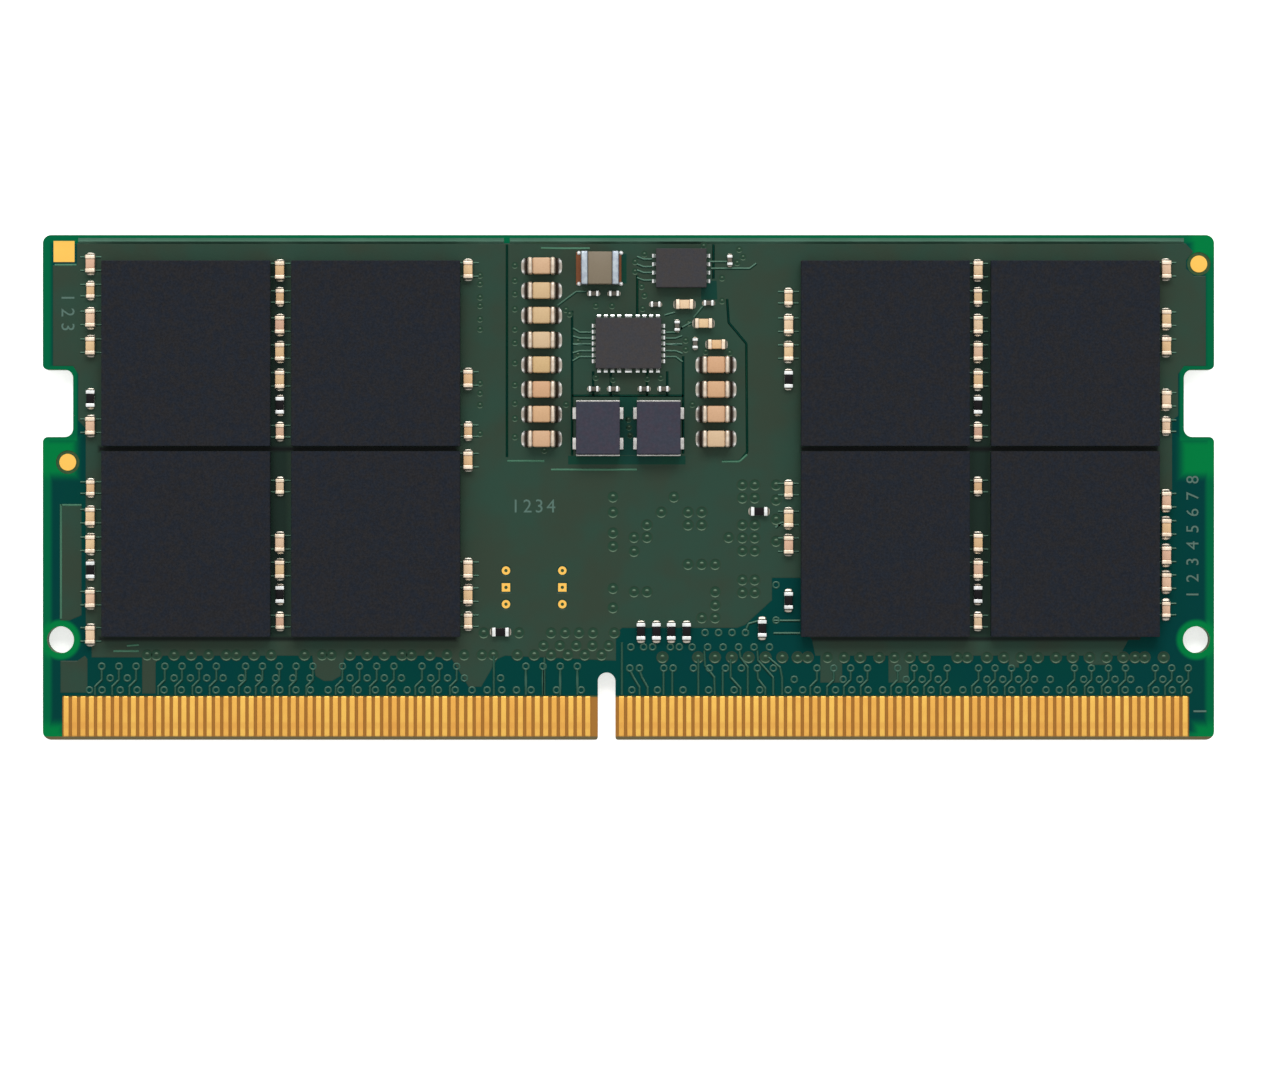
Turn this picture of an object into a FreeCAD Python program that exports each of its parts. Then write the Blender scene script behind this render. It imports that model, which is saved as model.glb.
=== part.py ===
import FreeCAD, Part
import math
import os

# A single-sided memory module for small computers, lying flat with its parts up.
# X runs along the module, Y from the contact edge to the far edge, Z up through the board.
# The origin is the middle of the underside. All sizes are millimetres.

V = FreeCAD.Vector

# Board outline
board_length = 69.6
board_width = 30.0
board_thickness = 1.2
corner_radius = 0.5
notch_depth = 1.8
notch_opening = 4.0
notch_above_edge = 20.0
notch_inner_radius = 0.5
notch_outer_radius = 0.3
hole_diameter = 1.6
hole_above_edge = 5.95
hole_from_side = 1.05
key_x = -1.3
key_width = 1.05
key_length = 4.0
edge_bevel = 0.15
bevel_run = 0.2

# Board layers
skin_thickness = 0.04
outer_sheet_thickness = 0.2
foil_thickness = 0.035
plane_setback = 0.5

# Edge contacts
contact_pitch = 0.5
contact_width = 0.35
contact_length = 2.4
contact_setback = 0.2
contacts_from_left_side = 1.38
contacts_from_right_side = 1.6
contact_to_key = 0.1
mask_to_contact = 0.05

# Marks for the placing machine, and test pads
square_mark = 1.25
square_mark_from_side = 1.26
square_mark_from_top = 0.98
round_mark = 1.0
mark_clearance = 0.2
left_mark_from_side = 1.48
left_mark_below_notch = 3.5
right_mark_from_side = 0.91
right_mark_from_top = 1.72
test_pad = 0.5
test_pad_hole = 0.2
test_pad_pitch = 1.0
test_pad_columns = [-7.28, -3.93]
test_pad_middle_y = -5.94

# The parts are laid out from a datum on the middle line, at a set distance from the far edge
datum_from_top = 15.0

# Memory packages, two by two on each side
memory_width = 10.0
memory_height = 11.0
memory_gap_x = 1.25
memory_gap_y = 0.3
bank_x = [-20.6, 20.85]
bank_y = 2.285
mould_thickness = 0.62
substrate_thickness = 0.18
ball_height = 0.25
ball_radius = 0.225
ball_pitch = 0.8
ball_row_count = 13
ball_column_count = 9
ball_columns_left_out = 3
die_margin = 1.3
die_thickness = 0.3

# Chips without legs: power chip and sensor hub
lead_thickness = 0.2
lead_width = 0.22
lead_length = 0.3
lead_solder_run = 0.22
solder_bed = 0.03
power_chip_at = (0.0, 8.55)
power_chip_length = 3.9
power_chip_width = 3.0
power_chip_height = 0.8
power_row_first = 0.55
power_row_pitch = 0.4
power_row_count = 4
power_row_wide = 0.4
power_column_pitch = 0.35
power_column_count = 7
power_pad_length = 2.6
power_pad_width = 1.7
sensor_hub_at = (3.13, 13.01)
sensor_hub_length = 3.0
sensor_hub_width = 2.3
sensor_hub_height = 0.75
sensor_hub_pitch = 0.5
sensor_hub_count = 4
sensor_pad_length = 1.6
sensor_pad_width = 1.5
chip_die_margin = 0.25
chip_die_thickness = 0.2

# Moulded power inductors
inductor_x = [-1.81, 1.79]
inductor_y = 3.5
inductor_length = 2.6
inductor_width = 3.1
inductor_height = 1.2
terminal_sheet = 0.1
terminal_tab = 0.22
terminal_inner = 0.55
terminal_outer = 1.25
flap_height = 0.95
coil_outer_radius = 1.05
coil_inner_radius = 0.45
coil_height = 0.6
coil_lead_width = 0.5
coil_lead_height = 0.2

# Chip parts: length, width and height over the ends, length of one end,
# and how far the solder runs out past it
end_proud = 0.02
resistor_coat = 0.05
bulk = {"length": 1.66, "width": 1.0, "height": 0.85, "end": 0.32, "run": 0.36}
filter_part = {"length": 2.26, "width": 1.96, "height": 1.0, "end": 0.42, "run": 0.3}
capacitor = {"length": 1.05, "width": 0.56, "height": 0.5, "end": 0.25, "run": 0.1}
small = {"length": 0.9, "width": 0.5, "height": 0.3, "end": 0.22, "run": 0.14}
tiny = {"length": 0.6, "width": 0.3, "height": 0.28, "end": 0.16, "run": 0.08}
resistor = {"length": 1.0, "width": 0.5, "height": 0.35, "end": 0.22, "run": 0.12}
fillet_share = 0.6
fillet_bow = 0.8

# Where the chip parts stand. Columns keep their distance from the memory packages.
column_to_package = 0.45
outer_column_to_package = 0.72
between_column_shift = -0.1
bulk_first_y = 13.14
bulk_pitch = 1.466
bulk_left_x = -5.16
bulk_left_count = 8
bulk_right_x = 5.2
bulk_right_count = 4
filter_at = (-1.69, 13.01)

column_capacitors = {
    "left_outer": [13.28, 10.05, 8.4, 3.65, -1.73, -3.37, -6.6, -8.75],
    "left_middle": [12.89, 9.65, 8.05, 6.4, -3.28, -4.87],
    "left_inner": [12.93, 6.45, 1.6, -4.85, -6.39],
    "right_inner": [9.65, 8.05, -1.84, -3.42],
    "right_middle": [12.89, 9.65, 8.05, 6.4, -3.28, -4.87],
    "right_outer": [12.94, 10.0, 8.39, 5.21, -0.78, -2.4, -4.03, -5.62],
}
column_small = {
    "left_outer": [11.7, -0.03],
    "left_middle": [11.32, 3.32, 0.06, -7.96],
    "left_inner": [3.35, -7.94],
    "right_inner": [11.28, -0.12],
    "right_middle": [11.32, 3.32, 0.06, -7.96],
    "right_outer": [3.65, -7.25],
}
column_resistors = {
    "left_outer": [5.27, -4.9],
    "left_middle": [4.87, -6.36],
    "left_inner": [],
    "right_inner": [6.41, -6.72],
    "right_middle": [4.87, -6.36],
    "right_outer": [],
}
loose_capacitors = [(3.33, 10.87), (4.46, 9.74), (5.23, 8.49)]
tiny_flat = [(-2.07, 11.52), (-0.86, 11.52), (1.61, 10.87), (4.76, 10.95),
             (-2.07, 5.85), (-0.89, 5.85), (0.93, 5.85), (2.09, 5.85)]
tiny_upright = [(2.89, 9.59), (3.96, 8.55), (6.02, 13.49)]
resistor_row_x = [0.74, 1.66, 2.54, 3.45]
resistor_row_y = -8.55
resistors_upright = [(7.94, -8.37)]
resistors_flat = [(7.76, -1.43), (-7.6, -8.59)]

# Heights that follow from the sizes above
board_half = board_length / 2
contact_edge = -board_width / 2
far_edge = board_width / 2
datum_y = far_edge - datum_from_top
core_bottom = skin_thickness + outer_sheet_thickness
core_top = board_thickness - core_bottom
board_top = board_thickness
bed_top = board_top + solder_bed
substrate_bottom = board_top + ball_height
mould_bottom = substrate_bottom + substrate_thickness

os.makedirs("parts", exist_ok=True)
groups = {}


def keep(node, shape):
    """Put a solid into the group that becomes one named node."""
    groups.setdefault(node, []).append(shape)


def block(x, y, z, length, width, height):
    """A box centred on x and y that stands on z."""
    return Part.makeBox(length, width, height, V(x - length / 2, y - width / 2, z))


def centred(count, pitch):
    """Evenly spaced offsets about zero."""
    return [(i - (count - 1) / 2) * pitch for i in range(count)]


def rounded_wire(corners):
    """A closed wire through corners (x, y, radius), each rounded with a tangent arc."""
    edges = []
    joints = []
    count = len(corners)
    for i in range(count):
        x, y, radius = corners[i]
        corner = V(x, y, 0)
        back = V(*corners[i - 1][:2], 0) - corner
        ahead = V(*corners[(i + 1) % count][:2], 0) - corner
        back.normalize()
        ahead.normalize()
        half = back.getAngle(ahead) / 2
        middle = back + ahead
        middle.normalize()
        start = corner + back * (radius / math.tan(half))
        end = corner + ahead * (radius / math.tan(half))
        top = corner + middle * (radius / math.sin(half) - radius)
        joints.append((start, top, end))
    for i in range(count):
        start, top, end = joints[i]
        edges.append(Part.Arc(start, top, end).toShape())
        following = joints[(i + 1) % count][0]
        if end.distanceToPoint(following) > 1e-6:
            edges.append(Part.LineSegment(end, following).toShape())
    return Part.Wire(edges)


def board_corners(low, setback):
    """Corners of the board, drawn in by a setback, from the height low up to the far edge."""
    side = board_half - setback
    wall = board_half - notch_depth - setback
    notch_low = contact_edge + notch_above_edge - notch_opening / 2 - setback
    notch_high = contact_edge + notch_above_edge + notch_opening / 2 + setback
    key_left = key_x - key_width / 2 - setback
    key_right = key_x + key_width / 2 + setback
    key_top = contact_edge + key_length + setback
    key_radius = (key_right - key_left) / 2
    corners = [(-side, low, corner_radius)]
    if low < key_top - key_radius:
        corners += [(key_left, low, edge_bevel), (key_left, key_top, key_radius),
                    (key_right, key_top, key_radius), (key_right, low, edge_bevel)]
    corners += [(side, low, corner_radius),
                (side, notch_low, notch_outer_radius), (wall, notch_low, notch_inner_radius),
                (wall, notch_high, notch_inner_radius), (side, notch_high, notch_outer_radius),
                (side, far_edge - setback, corner_radius),
                (-side, far_edge - setback, corner_radius),
                (-side, notch_high, notch_outer_radius), (-wall, notch_high, notch_inner_radius),
                (-wall, notch_low, notch_inner_radius), (-side, notch_low, notch_outer_radius)]
    return corners


def circle_wire(x, y, diameter):
    return Part.Wire([Part.makeCircle(diameter / 2, V(x, y, 0))])


def square_wire(x, y, side):
    h = side / 2
    return Part.makePolygon([V(x - h, y - h, 0), V(x + h, y - h, 0), V(x + h, y + h, 0),
                             V(x - h, y + h, 0), V(x - h, y - h, 0)])


def sheet(wires, z, thickness):
    """A flat sheet: the first wire is its outline, the others are openings through it."""
    face = Part.makeFace(Part.Compound(wires), "Part::FaceMakerBullseye")
    face.translate(V(0, 0, z))
    return face.extrude(V(0, 0, thickness))


def hole_wires():
    y = contact_edge + hole_above_edge
    x = board_half - hole_from_side
    return [circle_wire(side * x, y, hole_diameter) for side in (-1, 1)]


# Board: laminate core, two inner copper planes, two outer sheets, mask on both faces

def board_sheet(z, thickness):
    return sheet([rounded_wire(board_corners(contact_edge, 0.0))] + hole_wires(), z, thickness)


def copper_plane(z):
    """A plane stops short of every edge, and above the two round holes."""
    low = contact_edge + hole_above_edge + hole_diameter / 2 + plane_setback
    return sheet([rounded_wire(board_corners(low, plane_setback))], z, foil_thickness)


def bevel_wedge(surface, inward):
    """The wedge that is ground off one face along the contact edge."""
    depth = inward * edge_bevel
    points = [V(-board_length, contact_edge, surface),
              V(-board_length, contact_edge + bevel_run, surface),
              V(-board_length, contact_edge, surface + depth),
              V(-board_length, contact_edge, surface)]
    return Part.Face(Part.makePolygon(points)).extrude(V(2 * board_length, 0, 0))


def make_board():
    ground = copper_plane(core_top - foil_thickness)
    power = copper_plane(core_bottom)
    core = board_sheet(core_bottom, core_top - core_bottom)
    keep("laminate_core", core.cut(Part.Compound([ground, power])))
    keep("ground_plane", ground)
    keep("power_plane", power)
    front = board_sheet(core_top, outer_sheet_thickness)
    back = board_sheet(skin_thickness, outer_sheet_thickness)
    keep("laminate_front", front.cut(bevel_wedge(board_thickness - skin_thickness, -1)))
    keep("laminate_back", back.cut(bevel_wedge(skin_thickness, 1)))


def connector_window(z):
    """What the mask leaves bare: the row of contacts, and the bevel along the whole edge."""
    row = contact_places()
    left = row[0] - contact_width / 2 - mask_to_contact
    right = row[-1] + contact_width / 2 + mask_to_contact
    length = contact_setback + contact_length + mask_to_contact
    window = block((left + right) / 2, contact_edge + length / 2, z,
                   right - left, length, skin_thickness)
    bevel = block(0, contact_edge + bevel_run / 2, z, board_length, bevel_run, skin_thickness)
    return Part.Compound([window, bevel])


def make_masks():
    outline = board_corners(contact_edge, 0.0)
    windows = [square_wire(*square_mark_place(), square_mark)]
    opening = round_mark + 2 * mark_clearance
    windows += [circle_wire(x, y, opening) for x, y in round_mark_places()]
    windows += [pad_outline(x, y, kind) for x, y, kind in test_pad_places()]
    top = board_top - skin_thickness
    front = sheet([rounded_wire(outline)] + hole_wires() + windows, top, skin_thickness)
    back = sheet([rounded_wire(outline)] + hole_wires(), 0, skin_thickness)
    keep("solder_mask_front", front.cut(connector_window(top)))
    keep("solder_mask_back", back.cut(connector_window(0)))


# Marks and test pads: bare gold in windows of the mask

def square_mark_place():
    return (square_mark_from_side - board_half, far_edge - square_mark_from_top)


def round_mark_places():
    notch_middle = contact_edge + notch_above_edge
    return [(left_mark_from_side - board_half, notch_middle - left_mark_below_notch),
            (board_half - right_mark_from_side, far_edge - right_mark_from_top)]


def test_pad_places():
    """Each column is a round pad, a square one and a round one."""
    middle = datum_y + test_pad_middle_y
    return [(x, middle + row * test_pad_pitch, "square" if row == 0 else "round")
            for x in test_pad_columns for row in (-1, 0, 1)]


def pad_outline(x, y, kind):
    return square_wire(x, y, test_pad) if kind == "square" else circle_wire(x, y, test_pad)


def make_marks():
    z = board_top - skin_thickness
    keep("placement_marks", sheet([square_wire(*square_mark_place(), square_mark)],
                                  z, skin_thickness))
    for x, y in round_mark_places():
        keep("placement_marks", sheet([circle_wire(x, y, round_mark)], z, skin_thickness))
    for x, y, kind in test_pad_places():
        wires = [pad_outline(x, y, kind), circle_wire(x, y, test_pad_hole)]
        keep("test_pads", sheet(wires, z, skin_thickness))


# Edge contacts: gold strips on both faces, on one even pitch, left out where the key is

def contact_places():
    first = contacts_from_left_side - board_half
    row = board_length - contacts_from_left_side - contacts_from_right_side
    clear = (key_width + contact_width) / 2 + contact_to_key
    places = [first + i * contact_pitch for i in range(int(row / contact_pitch) + 1)]
    return [x for x in places if abs(x - key_x) > clear]


def make_contacts():
    y = contact_edge + contact_setback + contact_length / 2
    for x in contact_places():
        size = (contact_width, contact_length, skin_thickness)
        keep("contacts_front", block(x, y, board_top - skin_thickness, *size))
        keep("contacts_back", block(x, y, 0, *size))


# Memory packages: balls, substrate, die and moulded cover

def memory_places():
    """Package centres, bank by bank, each from the left and from the far edge down."""
    dx = (memory_width + memory_gap_x) / 2
    dy = (memory_height + memory_gap_y) / 2
    return [(bank + sx * dx, datum_y + bank_y + sy * dy, side)
            for bank, side in zip(bank_x, ("left", "right")) for sx in (-1, 1) for sy in (1, -1)]


def solder_ball():
    cut_angle = math.degrees(math.asin(ball_height / 2 / ball_radius))
    ball = Part.makeSphere(ball_radius, V(0, 0, 0), V(0, 0, 1), -cut_angle, cut_angle, 360)
    ball.translate(V(0, 0, board_top + ball_height / 2))
    return ball


def make_memory():
    ball = solder_ball()
    columns = [at for at in centred(ball_column_count, ball_pitch)
               if abs(at) > ball_pitch * ball_columns_left_out / 2]
    rows = centred(ball_row_count, ball_pitch)
    die_size = (memory_width - 2 * die_margin, memory_height - 2 * die_margin, die_thickness)
    for number, (x, y, side) in enumerate(memory_places(), start=1):
        die = block(x, y, mould_bottom, *die_size)
        mould = block(x, y, mould_bottom, memory_width, memory_height, mould_thickness)
        keep(f"memory_mould_{number}", mould.cut(die))
        keep(f"memory_substrate_{number}", block(x, y, substrate_bottom, memory_width,
                                                 memory_height, substrate_thickness))
        keep("memory_dies", die)
        for dx in columns:
            for dy in rows:
                copy = ball.copy()
                copy.translate(V(x + dx, y + dy, 0))
                keep(f"memory_balls_{side}", copy)


# Solder joint: a thin bed under the metal and a hollow fillet running out past its end

def solder_joint(inner, end, run, width, fillet):
    """A joint along +X: its bed starts at inner, the metal ends at end."""
    out = end + run
    tip = V(out, 0, bed_top)
    crest = V(end, 0, bed_top + fillet)
    bow = fillet_bow * math.atan(min(run / fillet, fillet / run))
    sag = math.tan(bow / 2) / 2
    belly = (tip + crest) * 0.5 + V(-fillet, 0, -run) * sag
    edges = [Part.makeLine(V(inner, 0, board_top), V(out, 0, board_top)),
             Part.makeLine(V(out, 0, board_top), tip),
             Part.Arc(tip, belly, crest).toShape(),
             Part.makeLine(crest, V(end, 0, bed_top)),
             Part.makeLine(V(end, 0, bed_top), V(inner, 0, bed_top)),
             Part.makeLine(V(inner, 0, bed_top), V(inner, 0, board_top))]
    face = Part.Face(Part.Wire(edges))
    face.translate(V(0, -width / 2, 0))
    return face.extrude(V(0, width, 0))


def turned(shape, angle):
    """A copy turned about the Z axis."""
    copy = shape.copy()
    copy.rotate(V(0, 0, 0), V(0, 0, 1), angle)
    return copy


def placed(shape, x, y, angle):
    """A copy turned about the Z axis and moved to its place from the datum."""
    copy = turned(shape, angle)
    copy.translate(V(x, datum_y + y, 0))
    return copy


# Chips without legs: a lead frame let into the mould, a die on its middle pad

def lead_places(length, width, row, column):
    """Leads as (angle, offset along the side, width of the lead, distance to the side)."""
    sides = [(90, at, wide, width / 2) for at, wide in row]
    sides += [(270, at, wide, width / 2) for at, wide in row]
    sides += [(0, at, lead_width, length / 2) for at in column]
    sides += [(180, at, lead_width, length / 2) for at in column]
    return sides


def make_leadless_chip(name, at, size, pad, row, column):
    length, width, height = size
    frame = [block(0, 0, bed_top, pad[0], pad[1], lead_thickness)]
    joints = [block(0, 0, board_top, pad[0], pad[1], solder_bed)]
    for angle, offset, wide, reach in lead_places(length, width, row, column):
        lead = block(reach - lead_length / 2, offset, bed_top, lead_length, wide, lead_thickness)
        joint = solder_joint(reach - lead_length, reach, lead_solder_run, wide, lead_thickness)
        joint.translate(V(0, offset, 0))
        frame.append(turned(lead, angle))
        joints.append(turned(joint, angle))
    die = block(0, 0, bed_top + lead_thickness, pad[0] - 2 * chip_die_margin,
                pad[1] - 2 * chip_die_margin, chip_die_thickness)
    mould = block(0, 0, bed_top, length, width, height).cut(Part.Compound(frame + [die]))
    keep(f"{name}_mould", placed(mould, *at, 0))
    keep(f"{name}_die", placed(die, *at, 0))
    for lead in frame:
        keep(f"{name}_lead_frame", placed(lead, *at, 0))
    for joint in joints:
        keep(f"{name}_solder", placed(joint, *at, 0))


def make_chips():
    steps = [power_row_first + i * power_row_pitch for i in range(power_row_count)]
    row = [(0.0, power_row_wide)]
    row += [(side * step, lead_width) for side in (-1, 1) for step in steps]
    make_leadless_chip("power_chip", power_chip_at,
                       (power_chip_length, power_chip_width, power_chip_height),
                       (power_pad_length, power_pad_width), row,
                       centred(power_column_count, power_column_pitch))
    make_leadless_chip("sensor_hub", sensor_hub_at,
                       (sensor_hub_length, sensor_hub_width, sensor_hub_height),
                       (sensor_pad_length, sensor_pad_width), [],
                       centred(sensor_hub_count, sensor_hub_pitch))


# Power inductors: moulded body round a coil, with a sheet terminal at each end

def inductor_terminal():
    """The terminal on the +Y end: a foot, two side tabs and a flap up the end."""
    end = inductor_width / 2 + terminal_sheet
    foot = block(0, (terminal_inner + end) / 2, bed_top,
                 inductor_length, end - terminal_inner, terminal_sheet)
    tabs = block(0, (terminal_inner + terminal_outer) / 2, bed_top,
                 inductor_length + 2 * terminal_tab, terminal_outer - terminal_inner,
                 terminal_sheet)
    flap = block(0, end - terminal_sheet / 2, bed_top,
                 inductor_length, terminal_sheet, flap_height)
    return foot.multiFuse([tabs, flap]).removeSplitter()


def inductor_coil():
    """The winding, with a flat lead out to each end flap."""
    z = bed_top + terminal_sheet + (inductor_height - coil_height) / 2
    ring = Part.makeCylinder(coil_outer_radius, coil_height, V(0, 0, z))
    ring = ring.cut(Part.makeCylinder(coil_inner_radius, coil_height, V(0, 0, z)))
    middle = (coil_outer_radius + coil_inner_radius) / 2
    reach = inductor_width / 2 - middle
    leads = [block(0, side * (middle + reach / 2), z, coil_lead_width, reach, coil_lead_height)
             for side in (-1, 1)]
    return ring.multiFuse(leads).removeSplitter()


def make_inductors():
    tab_width = terminal_outer - terminal_inner
    joint = solder_joint(inductor_length / 2, inductor_length / 2 + terminal_tab,
                         lead_solder_run / 2, tab_width, terminal_sheet)
    tab_middle = (terminal_inner + terminal_outer) / 2
    coil = inductor_coil()
    body = block(0, 0, bed_top + terminal_sheet, inductor_length, inductor_width,
                 inductor_height).cut(coil)
    bed = block(0, tab_middle, board_top, inductor_length, tab_width, solder_bed)
    for x, side in zip(inductor_x, ("left", "right")):
        keep(f"power_inductor_{side}", placed(body, x, inductor_y, 0))
        keep("power_inductor_coils", placed(coil, x, inductor_y, 0))
        for angle in (0, 180):
            keep("power_inductor_terminals", placed(inductor_terminal(), x, inductor_y, angle))
            keep("power_inductor_solder", placed(bed, x, inductor_y, angle))
            for shift in (-tab_middle, tab_middle):
                corner = joint.copy()
                corner.translate(V(0, shift, 0))
                keep("power_inductor_solder", placed(corner, x, inductor_y, angle))


# Chip parts: a ceramic body, a metal end on each side and two solder joints

def chip_body(kind, top_coat):
    length = kind["length"] - 2 * kind["end"]
    width = kind["width"] - 2 * end_proud
    height = kind["height"] - 2 * end_proud - top_coat
    return block(0, 0, bed_top + end_proud, length, width, height)


def chip_end(kind):
    return block((kind["length"] - kind["end"]) / 2, 0, bed_top,
                 kind["end"], kind["width"], kind["height"])


def chip_joint(kind):
    half = kind["length"] / 2
    return solder_joint(half - kind["end"], half, kind["run"], kind["width"],
                        kind["height"] * fillet_share)


def place_chip(kind, bodies, ends, solder, x, y, angle):
    coat = resistor_coat if kind is resistor else 0.0
    keep(bodies, placed(chip_body(kind, coat), x, y, angle))
    for turn in (angle, angle + 180):
        keep(ends, placed(chip_end(kind), x, y, turn))
        keep(solder, placed(chip_joint(kind), x, y, turn))


def place_resistor(x, y, angle):
    place_chip(resistor, "resistor_bases", "resistor_ends", "chip_part_solder", x, y, angle)
    coat = block(0, 0, bed_top + resistor["height"] - end_proud - resistor_coat,
                 resistor["length"] - 2 * resistor["end"],
                 resistor["width"] - 2 * end_proud, resistor_coat)
    keep("resistor_coats", placed(coat, x, y, angle))


def column_places():
    """The X of each column of chip parts, measured from the edges of the packages."""
    reach = memory_width + memory_gap_x / 2
    left, right = bank_x
    return {
        "left_outer": left - reach - outer_column_to_package,
        "left_middle": left + between_column_shift,
        "left_inner": left + reach + column_to_package,
        "right_inner": right - reach - outer_column_to_package,
        "right_middle": right + between_column_shift,
        "right_outer": right + reach + column_to_package,
    }


def make_capacitors():
    names = ("capacitor_bodies", "capacitor_ends", "chip_part_solder")
    small_names = ("small_capacitor_bodies", "small_capacitor_ends", "chip_part_solder")
    tiny_names = ("tiny_part_bodies", "tiny_part_ends", "chip_part_solder")
    bulk_names = ("bulk_capacitor_bodies", "bulk_capacitor_ends", "bulk_capacitor_solder")
    for column, x in column_places().items():
        for y in column_capacitors[column]:
            place_chip(capacitor, *names, x, y, 90)
        for y in column_small[column]:
            place_chip(small, *small_names, x, y, 90)
    for x, y in loose_capacitors:
        place_chip(capacitor, *names, x, y, 0)
    for x, y in tiny_flat:
        place_chip(tiny, *tiny_names, x, y, 0)
    for x, y in tiny_upright:
        place_chip(tiny, *tiny_names, x, y, 90)
    for x, count in ((bulk_left_x, bulk_left_count), (bulk_right_x, bulk_right_count)):
        for row in range(bulk_left_count - count, bulk_left_count):
            place_chip(bulk, *bulk_names, x, bulk_first_y - row * bulk_pitch, 0)


def make_resistors():
    for column, x in column_places().items():
        for y in column_resistors[column]:
            place_resistor(x, y, 90)
    for x in resistor_row_x:
        place_resistor(x, resistor_row_y, 90)
    for x, y in resistors_upright:
        place_resistor(x, y, 90)
    for x, y in resistors_flat:
        place_resistor(x, y, 0)


def make_filter():
    place_chip(filter_part, "filter_part_body", "filter_part_ends", "filter_part_solder",
               *filter_at, 0)


make_board()
make_masks()
make_marks()
make_contacts()
make_memory()
make_chips()
make_inductors()
make_capacitors()
make_resistors()
make_filter()

for node, solids in groups.items():
    shape = solids[0] if len(solids) == 1 else Part.Compound(solids)
    shape.exportStep(f"parts/{node}.step")
    print(node, len(solids), "solids, valid", all(solid.isValid() for solid in solids))
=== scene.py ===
# %% [markdown]
# A laptop memory module, dressed over its measured solids. The solids hold every size and
# place, and this lesson gives each visible piece its rounded edges, its solder and its finish.
# The module could be modelled again from nothing here, but two models of one thing drift apart,
# so each piece starts from the box of its solid. Lengths are metres, as Blender counts them, so
# every size is written as so many MM.

# %% Load the solids
import bmesh
import bpy
import math
import random
from mathutils import Matrix, Vector
from mathutils.geometry import tessellate_polygon


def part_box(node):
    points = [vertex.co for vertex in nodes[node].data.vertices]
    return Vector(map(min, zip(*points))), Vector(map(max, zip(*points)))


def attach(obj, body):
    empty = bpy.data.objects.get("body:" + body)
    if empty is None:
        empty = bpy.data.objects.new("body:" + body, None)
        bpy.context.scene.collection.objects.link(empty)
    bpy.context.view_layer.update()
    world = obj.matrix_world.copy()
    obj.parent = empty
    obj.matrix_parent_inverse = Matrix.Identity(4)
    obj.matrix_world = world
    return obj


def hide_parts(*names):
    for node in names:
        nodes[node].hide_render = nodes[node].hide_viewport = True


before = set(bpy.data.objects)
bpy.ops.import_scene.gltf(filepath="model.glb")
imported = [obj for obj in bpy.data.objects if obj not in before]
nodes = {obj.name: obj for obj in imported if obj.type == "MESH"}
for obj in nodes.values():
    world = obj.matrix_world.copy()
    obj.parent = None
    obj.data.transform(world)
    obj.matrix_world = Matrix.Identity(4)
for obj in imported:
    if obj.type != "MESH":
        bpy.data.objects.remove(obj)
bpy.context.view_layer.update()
MM = 0.001
board_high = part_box("laminate_core")[1]
MASK_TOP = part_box("solder_mask_front")[1].z
print("solids", len(nodes), "mask top at", round(MASK_TOP / MM, 3), "mm")

# %% [markdown]
# A photographed colour is a number from 0 to 255 on a curve, while a shader wants plain light.
# The colours could be turned by hand and typed in as plain light, but then nobody could compare
# them with a picture. This function undoes the curve, so every colour below is written as it is
# seen.

# %% Colours
def seen(red, green, blue):
    """A colour as the eye sees it, 0 to 255, turned into plain light."""
    def plain(value):
        value /= 255
        return value / 12.92 if value <= 0.04045 else ((value + 0.055) / 1.055) ** 2.4
    return (plain(red), plain(green), plain(blue), 1.0)


print("middle grey as plain light", round(seen(128, 128, 128)[0], 3))

# %% [markdown]
# A finish is a sum of patterns. Its nodes could be placed one by one, but a sum written with
# plus and times is easier to read, so this class wraps one socket and turns each operator into
# a Math node. Any other node comes from its `node` method: settings first, then what its
# sockets hold.

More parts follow.
